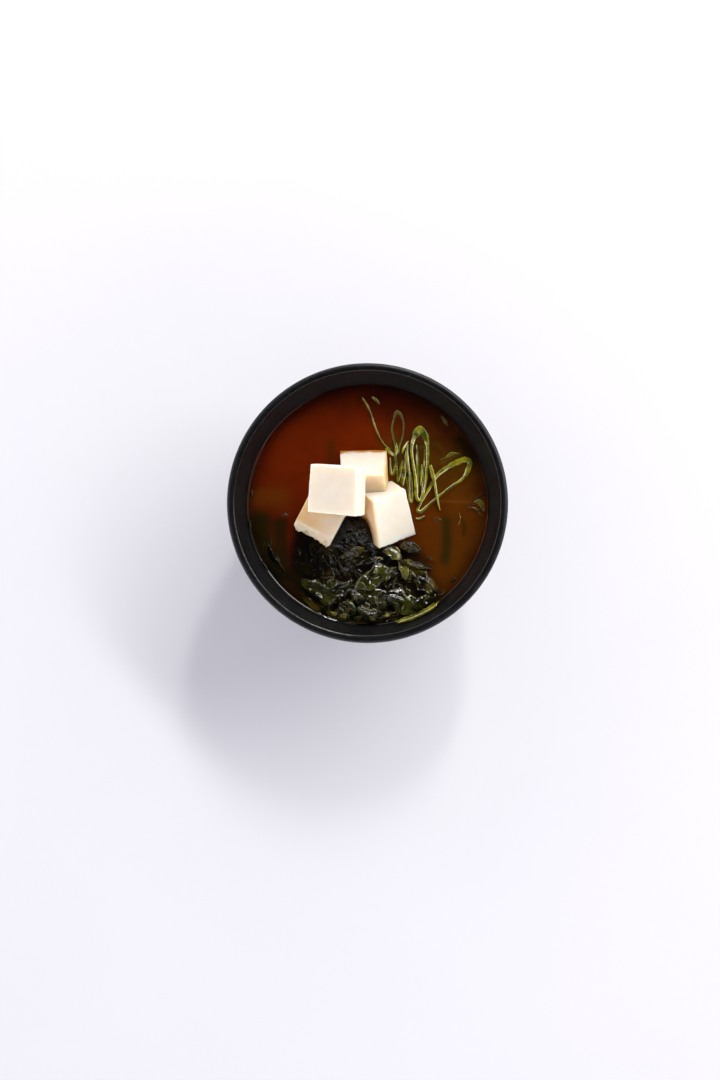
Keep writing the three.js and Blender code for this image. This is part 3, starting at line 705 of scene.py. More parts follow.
# The heap's own form: a lumpy mound against the tofu that runs out into a low mat at the front, of
# which only the higher folds come out of the broth. Its reach is given all round, from +X on.
HEAP_MIDDLE = (-2.0, -28.0)
HEAP_REACH = (26, 22, 15, 16, 23, 24, 20, 27, 29, 25, 23, 22, 21.8, 23, 26.5, 32.5)
MOUND = {"x": -4.6, "y": -10.5, "height": 9.6, "radius": 10.2}
HEAP_SECTORS = 320
HEAP_RINGS = 110
HEAP_FOOT = 43
FOOT_REACH = 0.86  # of the heap's own
KNOT = 150  # square of the radius of the tight knot of curls
DARK = 260  # square of the radius round the mound where the blades are darkened, partly as painted shade
CURL = 1.7  # size of the tight curls on the mound
MAT_CREASES = 3.2  # size of the wrinkles in the mat


def heap_reach(angle):
    """How far the heap goes from its middle, eased from one of its given reaches to the next."""
    turn = (angle / (2 * math.pi) * len(HEAP_REACH)) % len(HEAP_REACH)
    first = int(turn)
    part = (1 - math.cos((turn - first) * math.pi)) / 2
    return HEAP_REACH[first] * (1 - part) + HEAP_REACH[(first + 1) % len(HEAP_REACH)] * part


def heap_height(x, y, share):
    """The heap's height, where share goes from 0 at its middle to 1 at its edge."""
    squared = (x - MOUND["x"]) ** 2 + (y - MOUND["y"]) ** 2
    mound = MOUND["height"] * math.exp(-squared / MOUND["radius"] ** 2)
    knot = math.exp(-((squared / KNOT) ** 2))
    crinkle = math.sin(x * 0.9 + math.sin(y * 0.7) * 1.5) * math.sin(y * 0.8 + x * 0.3)
    edge = math.sqrt(max(0.0, 1 - share**4))
    beads = 0.9 * abs(noise.noise(Vector((x / CURL, y / CURL, 7.0)))) * knot
    swell = noise.noise(Vector((x * 0.17, y * 0.17, 3.3)))
    mat = (1 - knot) * (1.0 * swell + 0.5 * (creases(x, y, MAT_CREASES, 40) - 0.4))
    return SOUP_LEVEL - 1.5 + (1.5 + mound + crinkle * (0.2 + mound * 0.1) + beads + mat) * edge


def heap_core():
    """The mat and its mound as one closed lump: its vertices, faces and olive tones."""
    middle_x, middle_y = HEAP_MIDDLE
    vertices, tones = [(middle_x, middle_y, heap_height(middle_x, middle_y, 0))], [0.3]
    turns = [2 * math.pi * k / HEAP_SECTORS for k in range(HEAP_SECTORS)]
    for ring in range(1, HEAP_RINGS + 1):
        share = (ring / HEAP_RINGS) ** 0.8
        for angle in turns:
            reach = heap_reach(angle) * share
            x, y = middle_x + reach * math.cos(angle), middle_y + reach * math.sin(angle)
            vertices.append((x, y, heap_height(x, y, share)))
            near_mound = math.exp(-((x - MOUND["x"]) ** 2 + (y - MOUND["y"]) ** 2) / DARK)
            # Round the mound, under the tofu, the blades are darker: partly heaped blades, partly painted
            # shade.
            tones.append(max(0.0, 0.9 - 1.2 * near_mound + 0.6 * noise.noise(Vector((x * 0.2, y * 0.2, 9)))))
    for angle in turns:
        reach = heap_reach(angle) * FOOT_REACH
        vertices.append((middle_x + reach * math.cos(angle), middle_y + reach * math.sin(angle), HEAP_FOOT))
        tones.append(0.1)
    vertices.append((middle_x, middle_y, HEAP_FOOT))
    tones.append(0.1)
    return np.array(vertices), ring_faces(HEAP_SECTORS, HEAP_RINGS + 1), tones


def inside_heap(x, y):
    """0 at the heap's middle, 1 on its edge and more beyond it."""
    dx, dy = x - HEAP_MIDDLE[0], y - HEAP_MIDDLE[1]
    return math.hypot(dx, dy) / heap_reach(math.atan2(dy, dx))


def on_heap(lift):
    """The height of a blade that lies on the heap, or in the broth's skin where that is higher."""

    def base(x, y):
        heap = heap_height(x, y, min(1.0, inside_heap(x, y)))
        return max(heap, broth_level(x, y) - LEAF_THICKNESS) + lift

    return base


def torn_line(x, y, heading, length, bend):
    """The bent line of a torn scrap about its middle."""
    step_x, step_y = math.cos(heading) * length / 2, math.sin(heading) * length / 2
    return [(x - step_x, y - step_y), (x - step_y * bend, y + step_x * bend), (x + step_x, y + step_y)]


# Fronds that can be told apart in the heap: (line, width, tone, lift, arch).
FRONDS = (
    ([(-11.6, -23.0), (-7.0, -21.2), (-1.0, -18.9)], 4.4, 2.2, 0.8, 1.0),
    ([(-11.5, -24.0), (-7.5, -23.2), (-2.6, -21.2)], 1.5, 2.4, 0.8, 0.5),
    ([(-19.2, -21.2), (-15.6, -23.6), (-14.2, -28.6)], 3.2, 0.2, 0.7, 0.8),
    ([(-23.6, -16.9), (-22.3, -20.3), (-18.2, -23.7), (-16.4, -27.4)], 0.9, 0.3, 0.7, 0.5),
    ([(-8.0, -27.0), (-4.6, -29.0), (-1.4, -31.6)], 1.6, 1.4, 0.9, 0.6),
    ([(-3.4, -26.3), (-1.4, -26.8), (0.2, -26.4)], 1.0, 0.7, 0.9, 0.5),
    ([(-12.8, -24.0), (-11.0, -27.4), (-9.2, -31.2)], 1.5, 1.2, 0.8, 0.6),
    ([(-15.4, -27.0), (-12.8, -29.0), (-11.4, -32.0)], 1.1, 0.8, 0.8, 0.5),
    ([(-9.4, -26.0), (-6.0, -24.8), (-2.6, -24.4)], 2.0, 0.9, 0.8, 0.7),
    ([(-27.8, -21.0), (-26.4, -21.6), (-26.8, -23.2)], 0.9, 0.4, 0.5, 0.5),
    ([(-31.4, -25.2), (-29.9, -24.6), (-28.6, -26.6)], 1.0, 0.4, 0.5, 0.5),
    ([(-30.6, -27.6), (-29.4, -28.2), (-28.6, -27.4)], 0.8, 0.4, 0.5, 0.4),
    ([(-24.6, -24.8), (-23.4, -23.4), (-22.0, -25.0)], 1.0, 0.4, 0.6, 0.5),
    ([(-26.9, -30.3), (-25.4, -29.2), (-24.0, -29.9)], 1.1, 0.5, 0.5, 0.5),
    ([(-29.0, -34.4), (-27.6, -35.2), (-26.2, -35.0)], 0.9, 0.6, 0.5, 0.5),
    ([(-21.6, -27.0), (-19.4, -28.6), (-19.0, -31.2)], 1.2, 0.4, 0.6, 0.5),
    ([(8.9, -37.7), (9.6, -34.0), (11.6, -32.6), (13.6, -33.0)], 0.9, 0.9, 1.3, 0.6),
    ([(13.6, -33.0), (14.9, -36.0), (12.6, -38.0), (9.8, -37.6)], 0.9, 0.9, 1.3, 0.6),
    ([(6.8, -34.6), (9.0, -36.6), (12.4, -36.2)], 0.8, 0.9, 1.3, 0.4),
    ([(-15.4, -47.6), (-12.6, -45.0), (-8.2, -42.6)], 0.9, 0.4, 1.2, 0.5),
    ([(8.0, -36.0), (8.2, -40.6), (8.1, -45.8)], 0.9, 1.6, 1.8, 0.4),
    ([(-29.0, -38.6), (-20.0, -45.2), (-9.0, -48.6), (2.0, -49.4), (12.0, -47.6)], 5.4, 1.3, 0.6, 0.3),
    ([(0.0, -49.6), (11.0, -47.9), (21.0, -44.2), (28.6, -38.8)], 5.0, 1.4, 0.7, 0.4),
    ([(-9.2, -12.4), (-7.8, -11.0), (-6.2, -11.8), (-6.6, -13.6)], 0.9, 0.3, 0.6, 0.5),
    ([(-5.8, -13.6), (-4.4, -12.0), (-2.9, -12.8), (-3.4, -14.8)], 0.9, 0.3, 0.6, 0.5),
    ([(-8.8, -15.4), (-6.9, -14.4), (-5.0, -15.8), (-4.4, -17.2)], 1.0, 0.4, 0.6, 0.5),
    ([(-4.6, -10.4), (-3.0, -9.4), (-1.6, -10.8)], 0.9, 0.2, 0.6, 0.5),
    ([(-2.2, -15.2), (-0.8, -13.8), (0.8, -14.6)], 1.0, 0.2, 0.6, 0.5),
    ([(-18.4, -45.6), (-15.4, -47.2), (-12.6, -48.0)], 2.2, 0.8, 1.1, 0.8),
    ([(-13.4, -48.6), (-9.8, -49.3), (-6.4, -48.6)], 1.8, 1.6, 1.2, 0.8),
    ([(-6.0, -49.4), (-2.6, -49.7), (0.6, -49.1)], 1.8, 0.9, 1.2, 0.8),
    ([(1.2, -49.5), (4.8, -49.5), (8.2, -48.5)], 2.0, 0.7, 1.2, 0.9),
    ([(8.0, -48.6), (11.6, -48.2), (14.8, -46.6)], 1.8, 1.0, 1.2, 0.8),
    ([(12.4, -46.6), (15.6, -45.8), (18.4, -43.8)], 2.2, 0.7, 1.2, 0.9),
)
SCRAPS = 46  # small torn blades over the mat
draw = random.Random(20)
parts = [heap_core()]
for index, (line, width, tone, lift, arch) in enumerate(FRONDS):
    parts.append(
        blade(line, width, 60 + index, on_heap(lift), tone, step=0.28, across=11, arch=arch, ripple=0.2)
    )
for index in range(SCRAPS):
    while True:
        x, y = draw.uniform(-27, 24), draw.uniform(-48, -22)
        if inside_heap(x, y) < 0.9:
            break
    heading = draw.uniform(-0.7, 0.7)
    length = draw.uniform(5, 13)
    width = draw.uniform(1.6, 5.0)
    line = torn_line(x, y, heading, length, bend=draw.uniform(-0.3, 0.3))
    lift = draw.uniform(-0.2, 0.3)
    arch = draw.uniform(0.5, 1.1)
    tone = draw.uniform(0.4, 1.6)
    parts.append(blade(line, width, index, on_heap(lift), tone, step=0.4, across=11, arch=arch))
vertices, faces, tones = joined(parts)
heap = new_piece("wakame_heap_fronds", vertices, faces, wakame_dark)
paint(heap, "tone", tones)
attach(heap, "root")
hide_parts("wakame_heap")
garnish.append(heap)

# The leaves that float apart or lie on top, for blade. Sink lowers one from its solid's height.
LEAVES = {
    "leaf_left_edge": {
        "line": [(-44.0, -14.4), (-42.6, -20.4), (-39.8, -25.0), (-35.4, -29.8)],
        "width": 4.6, "arch": 1.2,
        "folds": [([(-41.4, -20.3), (-40.1, -23.5), (-37.1, -25.3), (-34.6, -28.6)], 0.9, 0.8)],
    },
    "leaf_left_inner": {
        "line": [(-24.8, -16.6), (-22.8, -20.6), (-17.6, -24.8)],
        "width": 3.4, "arch": 0.5, "tone": 0.2,
    },
    "leaf_left_low": {
        "line": [(-32, -25.4), (-27, -27.4), (-22.6, -30.6)],
        "width": 5, "arch": 0.25, "sink": 0.55, "tone": 0.5,
    },
    "leaf_front_left": {
        "line": [(-23.6, -40.4), (-18, -43.0), (-11.6, -44.8)],
        "width": 5.6, "tone": 0.9,
    },
    "leaf_keeled": {
        "line": [(-28.4, -32.6), (-22.4, -35.9), (-16.9, -37.8), (-11.0, -36.8), (-5.6, -32.8)],
        "width": 8.6, "arch": 0.45, "sink": 0.3,
        "folds": [
            ([(-24.2, -33.4), (-20.4, -34.9), (-16.9, -37.1), (-13.5, -35.8), (-7.1, -33.2)], 0.9, 0.9),
        ],
    },
    # Its blade is kept near black and smooth: painted shade of the hollow it lies in.
    "leaf_middle": {
        "line": [(-6, -27), (1, -26.4), (9.6, -23.8)],
        "width": 6.4, "arch": 0.1, "ripple": 0.05, "wrinkle": 0.03, "tone": 0.0,
    },
    "leaf_broad": {
        "line": [(-7.6, -37.4), (-1.4, -40.2), (4.1, -40.8), (10.4, -40.2)],
        "width": 11, "arch": 0.95,
        "folds": [
            ([(-5.4, -39.2), (-3.0, -40.4), (-0.6, -40.4), (2.8, -40.8)], 0.9, 0.9),
            ([(-3.4, -42.2), (0.5, -43.6), (3.4, -44.8)], 0.8, 0.9),
        ],
    },
    "leaf_triangle": {
        "line": [(-5.6, -36.4), (1.0, -33.0), (6.3, -30.0), (12.4, -27.6)],
        "width": 8.4, "arch": 0.7, "ripple": 0.25, "tone": 1.2,
    },
    "leaf_front_right": {
        "line": [(7.8, -38.0), (13, -40.8), (17.4, -42.6), (23.4, -42.2)],
        "width": 8.6, "arch": 0.9,
        "folds": [
            ([(9.7, -40.1), (12.8, -40.8), (15.7, -41.8)], 0.8, 0.9),
            ([(16.5, -40.5), (20, -43.5)], 0.7, 0.8),
        ],
    },
    "leaf_rim_right": {
        "line": [(18.2, -44.6), (23.6, -42.1), (27.1, -39.2), (30.2, -35.6)],
        "width": 5.0, "arch": 0.9,
    },
    "leaf_folded": {
        "line": [(-12.4, -43.6), (-9.0, -44.8), (-4.6, -46.6)],
        "width": 7.6, "arch": 0.7, "tone": 1.2,
        "folds": [
            ([(-7.3, -43.0), (-5.2, -46.6), (-5.0, -49.0)], 0.7, 0.6),
            ([(-11.4, -45.4), (-8.4, -48.8)], 0.9, 0.9),
        ],
    },
    "leaf_curl": {
        "line": [(-4.4, -44.6), (-1.2, -46.6), (1.5, -47.4), (6.2, -46.4)],
        "width": 4.8, "tone": 0.35,
        "folds": [([(-3.1, -45.6), (-0.4, -47.6), (3.0, -47.6)], 0.7, 0.6)],
    },
    "leaf_highlit": {
        "line": [(14.4, -26.0), (20.0, -30.4), (25.2, -34.4), (29.8, -38.4)],
        "width": 8, "arch": 1.0, "tone": 2.4,
        "folds": [
            ([(18.2, -29.2), (20.9, -32.4)], 0.9, 0.9),
            ([(21.9, -31.9), (26.3, -34.0), (28.4, -36.8), (29.6, -39.0)], 1.0, 1.1),
        ],
    },
    "leaf_pod": {
        "line": [(16.6, -32.6), (15.8, -27.6), (13.4, -22.8)],
        "width": 4.6, "wrinkle": 0.08, "ripple": 0.1, "tone": 0.9,
    },
    "leaf_pale": {
        "line": [(6.4, -20.4), (11, -20.2), (14.4, -23.8)],
        "width": 6.4, "wrinkle": 0.08, "ripple": 0.15, "tone": 1.4,
        "folds": [([(8.6, -19.0), (12.4, -21.6), (13.6, -24.6)], 0.8, 0.8)],
    },
    "leaf_dark_right": {
        "line": [(13.8, -18.0), (18.2, -18.2), (23.0, -20.2)],
        "width": 4.8,
        "folds": [([(15.7, -17.7), (18.3, -18.9), (21.3, -19.9)], 0.7, 0.7)],
    },
    "leaf_strip": {
        "line": [(12.4, -24.0), (17.6, -25.0), (22.3, -26.4), (28.0, -27.4)],
        "width": 3, "arch": 1.0, "ripple": 0.45, "tone": 1.5,
    },
}
OLIVE_LEAVES = ("leaf_pod", "leaf_pale", "leaf_curl")
GREEN_LEAVES = (
    "leaf_triangle", "leaf_keeled", "leaf_broad", "leaf_front_right", "leaf_rim_right", "leaf_folded"
)

for seed, (node_name, spec) in enumerate(LEAVES.items(), 1):
    surface = surface_of([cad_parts[node_name]])
    sink = spec.pop("sink", 0.0)
    vertices, faces, tones = blade(seed=seed, base=lambda x, y: height_on(surface, x, y) - sink, **spec)
    material = wakame_dark
    if node_name in OLIVE_LEAVES:
        material = wakame_olive
    elif node_name in GREEN_LEAVES:
        material = wakame_green
    leaf = new_piece(node_name + "_blade", vertices, faces, material)
    paint(leaf, "tone", tones)
    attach(leaf, "root")
    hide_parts(node_name)
    garnish.append(leaf)

# Loose crumbs in the broth and along the wall: (line, width, tone).
CRUMBS = (
    ([(-50.0, -10.4), (-50.5, -8.6), (-50.3, -6.8)], 1.0, 0.0),
    ([(-36.9, -4.6), (-35.5, -4.0), (-34.2, -4.7)], 1.4, 0.2),
    ([(-49.6, 3.4), (-49.8, 4.9), (-49.4, 6.4)], 0.7, 0.0),
    ([(46.3, 2.4), (48.6, 3.1), (50.2, 4.8)], 1.2, 0.1),
    ([(36.0, -33.4), (37.7, -32.2), (39.0, -30.6)], 1.4, 0.4),
    ([(24.9, -22.6), (26.6, -23.1), (28.0, -24.2)], 1.0, 0.3),
    ([(28.2, -5.8), (29.9, -6.7), (31.9, -6.5)], 1.9, 0.2),
    ([(-42.6, -14.0), (-41.5, -15.8), (-41.9, -17.8)], 1.0, 0.4),
    ([(-45.6, -24.0), (-44.4, -26.4), (-42.6, -28.6)], 1.2, 0.1),
    ([(-30.2, -19.0), (-29.2, -20.4), (-29.4, -22.0)], 0.9, 0.2),
    ([(33.6, -36.8), (31.8, -38.6), (30.6, -38.9)], 1.2, 0.5),
    # The next bits along the front wall have a high olive tone: painted glints on them.
    ([(-16.0, -46.2), (-14.0, -47.2), (-12.0, -46.7)], 1.7, 1.4),
    ([(-12.2, -47.4), (-10.4, -48.4), (-8.6, -47.4)], 2.6, 2.6),
    ([(-6.4, -48.0), (-4.2, -48.8), (-2.0, -47.8)], 1.7, 1.5),
    ([(0.4, -48.4), (2.4, -49.0), (4.6, -48.0)], 1.9, 1.8),
    ([(5.6, -47.6), (7.6, -48.2), (9.6, -46.8)], 1.5, 1.2),
    ([(-8.0, -44.6), (-6.6, -46.0), (-6.4, -47.6)], 1.3, 2.0),
    ([(-20.6, -43.2), (-18.4, -44.6), (-16.2, -44.8)], 1.2, 0.8),
)
BITS = 84  # small torn bits that lie on the leaves, every other one along the front


def on_leaves(lift):
    """The height of a scrap that lies on the leaves, or on the broth where that is higher."""
    return lambda x, y: max(height_on(leaf_tops, x, y, SOUP_LEVEL), broth_level(x, y)) + lift


parts = []
leaf_tops = surface_of([piece for piece in garnish if not piece.name.startswith("tofu")])
draw = random.Random(31)
for index in range(BITS):
    while True:
        x, y = draw.uniform(-24, 27), draw.uniform(-49, -24)
        if index % 2:
            x, y = draw.uniform(-20, 16), draw.uniform(-49, -41)
        if inside_heap(x, y) < 1.05 and math.hypot(x, y) < 48.5:
            break
    heading = draw.uniform(-1.3, 1.3) + math.atan2(x, -y)
    length = draw.uniform(2.4, 7.0)
    width = draw.uniform(0.5, 2.2)
    line = torn_line(x, y, heading, length, bend=draw.uniform(-0.6, 0.6))
    lift = draw.uniform(0.0, 0.4)
    arch = draw.uniform(0.4, 1.2)
    tone = draw.uniform(0.1, 1.1) ** 1.3
    form = {"step": 0.22, "across": 11, "arch": arch, "ripple": 0.4, "lobes": 0.9}
    parts.append(blade(line, width, 200 + index, on_leaves(lift), tone, **form))
for index, (line, width, tone) in enumerate(CRUMBS):
    parts.append(blade(line, width, 120 + index, on_leaves(0.25), tone, step=0.25, across=9, ripple=0.3))
vertices, faces, tones = joined(parts)
crumbs = new_piece("wakame_crumbs", vertices, faces, wakame_olive)
paint(crumbs, "tone", tones)
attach(crumbs, "root")
garnish.append(crumbs)

# ---------------------------------------------------------------- scallion
# The hollow green leaves of a scallion, sliced at a long slant into narrow rings. Some are cut open
# into strips. The cut edge is wet and pale inside, and the skin outside is a clear leaf green.

# Each has its points as x, y and the cut wall's width. The soaked ones have taken on the broth's brown.
SHREDS = {
    "scallion_ring_back": {
        "closed": True,
        "soaked": 0.8,
        "points": [
            (12.9, 40.3, 1.3), (11.4, 37, 0.8), (10.6, 33.4, 0.6), (11, 30, 0.7), (12, 26.2, 0.8),
            (12.9, 22.8, 1.1), (14, 26.2, 0.7), (15.3, 30.5, 0.5), (15.5, 34.6, 0.6), (14.7, 38.3, 0.9),
        ],
    },
    "scallion_strand": {
        "soaked": 0.5,
        "points": [
            (-2.3, 46.6, 0.8), (-0.6, 44, 1), (1.1, 40.5, 0.6), (3.2, 34.2, 0.7), (5.3, 29.2, 0.6),
            (7.6, 25.8, 0.6), (10, 23.9, 0.5),
        ],
    },
    "scallion_chip_back": {"soaked": 0.6, "points": [(1.9, 46.9, 0.7), (4, 45.2, 1.3), (5.3, 43.6, 0.6)]},
    "scallion_chip_edge": {"soaked": 0.65, "points": [(32, 38.6, 0.7), (33.4, 36.4, 1.3), (34.8, 34.4, 0.7)]},
    "scallion_hook": {
        "points": [
            (9.7, 20.4, 0.7), (9.8, 16.8, 0.8), (10.4, 13.2, 0.9), (11.6, 14.6, 0.9), (12.4, 18.1, 0.8),
        ],
    },
    "scallion_strip_1": {"soaked": 0.2, "points": [(14.9, 19.0, 0.8), (14.2, 14.2, 1.0), (13.4, 10.2, 0.8)]},
    "scallion_strip_2": {"soaked": 0.1, "points": [(16.6, 20.4, 0.8), (16, 13.4, 1.0), (15.2, 8.5, 0.9)]},
    "scallion_ring_inner": {
        "points": [
            (17.3, 26.3, 1), (17.2, 22.9, 0.9), (17.4, 18.8, 0.9), (18, 12.6, 0.8), (18, 6.4, 0.8),
            (18.3, 2, 0.9), (19, 1.2, 0.9), (19.4, 2.6, 0.8), (19.4, 8.1, 0.7), (19, 14, 0.6),
        ],
    },
    "scallion_ring_right": {
        "closed": True,
        "points": [
            (21.7, -2.6, 1.1), (22.6, 0.2, 0.8), (24.3, 3.1, 0.9), (27.5, 8.5, 1), (29.9, 12.6, 1.2),
            (34.1, 16, 1.5), (38.2, 18.2, 2.0), (42.2, 19.6, 2.1), (44.2, 18.9, 1.6), (43.7, 15.9, 1.8),
            (41.5, 11.8, 1), (36.5, 8.1, 0.9), (29.9, 3.1, 0.8), (24.4, -1.8, 1), (22.9, -3.1, 1.1),
        ],
    },
    "scallion_ring_large": {
        "closed": True,
        "points": [
            (22.6, 33.4, 1.7), (24.6, 30.6, 2.5), (25.8, 26.6, 1.4), (26, 20.9, 1.1), (25.5, 14.3, 1),
            (25, 9.3, 0.9), (24, 5, 0.9), (22.6, 1.8, 1), (21.4, 2.4, 1.1), (20.9, 8.5, 1.1),
            (20.5, 12.6, 1.1), (19.5, 19, 1), (19, 24.2, 1), (19.6, 27.6, 1.3), (20.9, 30.6, 2.5),
        ],
    },
    "scallion_strip_3": {"points": [(23.4, 17.4, 0.7), (23.3, 13.3, 0.8), (22.9, 8.4, 0.7)]},
    "scallion_strand_right": {
        "points": [(27, 17, 1.5), (28, 13.4, 1.8), (28.9, 9.6, 1), (29.9, 3, 0.8), (31.2, -2.4, 0.7)],
    },
    "scallion_strip_low": {"points": [(20.8, -5.9, 0.8), (22.6, -6, 0.7), (24.6, -4.9, 0.7)]},
    "scallion_tip_edge": {
        "soaked": 0.78,
        "points": [(45.9, 1.2, 0.8), (48.2, 1.2, 2), (49.6, -0.3, 1.9), (50.1, -3, 0.8)],
    },
    "scallion_sliver": {
        "soaked": 0.35,
        "points": [(12.8, -51.3, 0.8), (19.1, -49.3, 1), (24.6, -46.8, 1), (29.5, -43.7, 0.8)],
    },
}
SHRED_HEIGHT = 1.5
SHRED_SIDES = 20
SHRED_STEP = 0.33
CLEAR_OF_BROTH = 0.6  # the least that a shred's top stands above it
WIDER = 1.25  # the cut wall leans outwards, so it shows wider than it is thick
HOLLOW = 0.15  # depth of the groove along its top
SOAKED_HOLLOW = 0.25  # how much the groove is darkened towards the broth's brown


def shred_mesh(surface, points, closed=False):
    """A rounded wall along a line, clear of the broth, with the leaf's hollow as a groove on its top.

    Its tone rises to 1 at the inner edge. The last list says how far it is in the groove.
    """
    stations, ways = along_line(points, SHRED_STEP, closed)
    tops = [max(height_on(surface, x, y), broth_level(x, y) + CLEAR_OF_BROTH) for x, y, _ in stations]
    tops = smoothed(np.array(tops)[:, None], 6)[:, 0]
    vertices, tones, grooves = [], [], []
    for i, ((x, y, width), way) in enumerate(zip(stations, ways)):
        t = i / (len(stations) - 1)
        taper = 1 if closed else max(0.25, math.sin(math.pi * min(max(t, 0.02), 0.98))) ** 0.35
        thick = WIDER * width * taper * (1 + 0.35 * noise.noise(Vector((x, y, 1.7)) * 0.5))
        deep = HOLLOW * min(1.0, thick / 1.2) * (1 + 0.8 * noise.noise(Vector((x, y, 8.7)) * 0.6))
        for k in range(SHRED_SIDES):
            angle = 2 * math.pi * k / SHRED_SIDES
            c, s = math.cos(angle), math.sin(angle)
            out = math.copysign(abs(c) ** 0.7, c) * thick / 2
            groove = math.exp(-((c / 0.4) ** 2)) if s > 0 else 0.0
            rise = math.copysign(abs(s) ** 0.7, s) * SHRED_HEIGHT / 2 - deep * groove
            sag = 0.10 * noise.noise(Vector((x + out, y, 5.1)) * 1.9) if s > 0 else 0.0
            vertices.append((x - way[1] * out, y + way[0] * out, tops[i] - SHRED_HEIGHT / 2 + rise + sag))
            tones.append((0.5 - 0.5 * c if closed else 0.5 + 0.5 * c) * min(1.0, (1.5 / width) ** 2))
            grooves.append(groove * min(1.0, deep / HOLLOW))
    count = len(stations)
    faces = []
    for i in range(count if closed else count - 1):
        for k in range(SHRED_SIDES):
            a, b = i * SHRED_SIDES + k, i * SHRED_SIDES + (k + 1) % SHRED_SIDES
            shift = ((i + 1) % count - i) * SHRED_SIDES
            faces.append((a, b, b + shift, a + shift))
    if not closed:
        faces.append(tuple(range(SHRED_SIDES))[::-1])
        faces.append(tuple((count - 1) * SHRED_SIDES + k for k in range(SHRED_SIDES)))
    return vertices, faces, tones, grooves


scallion_leaf = new_material("scallion_leaf")
tree = scallion_leaf.node_tree
place = add_node(tree, "TexCoord").outputs["Object"]
tone = add_node(tree, "Attribute", {"attribute_name": "tone"}).outputs["Fac"]
soaked = add_node(tree, "Attribute", {"attribute_name": "soaked"}).outputs["Fac"]
# Cut cells along the pale edge are 0.1 mm, drawn 0.7 mm wide so that they glisten, and they speckle the pale
# edge's colour as painted glints. The skin goes from leaf green to yellow green over about 5 mm.
cells = add_node(tree, "TexNoise", inputs={"Vector": place, "Scale": 1500.0, "Detail": 2.0})
patches = add_node(tree, "TexNoise", inputs={"Vector": place, "Scale": 210.0, "Detail": 2.0})
edge = add_node(tree, "Math", {"operation": "MULTIPLY_ADD"}, {0: cells.outputs[0], 1: 0.7, 2: -0.35})
inner = add_node(tree, "Math", {"operation": "ADD"}, {0: tone, 1: edge.outputs[0]})
share = add_node(tree, "MapRange", SMOOTH, {"Value": inner.outputs[0], "From Min": 0.52, "From Max": 0.92})
side = add_node(tree, "MapRange", inputs={"Value": patches.outputs[0], "From Min": 0.32, "From Max": 0.66})
skin = add_node(tree, "Mix", OF_COLOURS, {0: side.outputs[0], 6: srgb("#414d0b"), 7: srgb("#aaa622")})
fresh = add_node(tree, "Mix", OF_COLOURS, {0: share.outputs[0], 6: skin.outputs[2], 7: srgb("#e8e2ac")})
colour = add_node(tree, "Mix", OF_COLOURS, {0: soaked, 6: fresh.outputs[2], 7: srgb("#402b08")})
relief = add_node(tree, "Bump", inputs={"Height": cells.outputs[0], "Strength": 0.7, "Distance": 0.0003})
shader = add_node(
    tree,
    "BsdfPrincipled",
    inputs={
        "Base Color": colour.outputs[2],
        "Roughness": 0.12,
        "IOR": 1.45,
        "Specular IOR Level": 0.65,
        "Subsurface Weight": 0.4,
        "Subsurface Radius": (1.0, 1.0, 0.3),
        "Subsurface Scale": 0.0006,
        "Normal": relief.outputs[0],
    },
)
add_node(tree, "OutputMaterial", inputs={"Surface": shader.outputs[0]})

for node_name, spec in SHREDS.items():
    soaking = spec.pop("soaked", 0.0)
    vertices, faces, tones, grooves = shred_mesh(surface_of([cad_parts[node_name]]), **spec)
    shred = new_piece(node_name + "_cut", vertices, faces, scallion_leaf)
    paint(shred, "tone", tones)
    paint(shred, "soaked", np.maximum(soaking, SOAKED_HOLLOW * np.array(grooves)))
    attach(shred, "root")
    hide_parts(node_name)
    garnish.append(shred)

# Thin skin and threads that came off with the rings: (line, width, how soaked, tone).
FILMS = (
    ([(43.4, -0.9), (46.6, -2.0), (49.4, -4.6)], 1.1, 0.9, 0.3),
    ([(12.4, 20.6), (12.8, 13.6), (12.9, 9.8)], 0.6, 0.3, 0.7),
    ([(15.7, 19.4), (15.0, 12.4), (14.4, 9.2)], 0.55, 0.2, 0.8),
    ([(21.2, 26.0), (21.4, 16.0), (21.9, 5.4)], 0.6, 0.2, 1.2),
    ([(24.6, 24.0), (24.3, 15.0), (23.4, 5.2)], 0.55, 0.3, 0.9),
    ([(7.9, 24.6), (9.6, 23.0), (12.0, 21.0)], 1.4, 0.1, 0.8),
    ([(12.4, 26.8), (12.5, 23.8), (12.1, 20.8)], 1.3, 0.1, 0.8),
    ([(12.3, 21.4), (12.1, 17.0), (11.0, 12.8)], 1.3, 0.35, 0.5),
    # This thread is all pale: partly its cut, partly painted highlight.
    ([(14.9, 22.2), (15.8, 24.8), (17.6, 27.6)], 0.8, 0.0, 2.0),
    ([(31.0, 19.2), (34.0, 20.6), (38.8, 22.6)], 0.7, 0.5, 0.5),
    ([(34.0, 21.0), (36.4, 22.6), (39.4, 22.0)], 0.6, 0.5, 0.5),
    ([(22.0, 24.0), (21.9, 18.0), (22.2, 12.0)], 0.8, 0.6, 0.4),
    ([(17.2, 27.0), (16.4, 20.0), (17.0, 12.0), (17.4, 6.0)], 0.6, 0.3, 1.4),
    ([(39.0, -9.0), (40.0, -6.0), (39.6, -3.6)], 0.5, 0.6, 0.4),
)
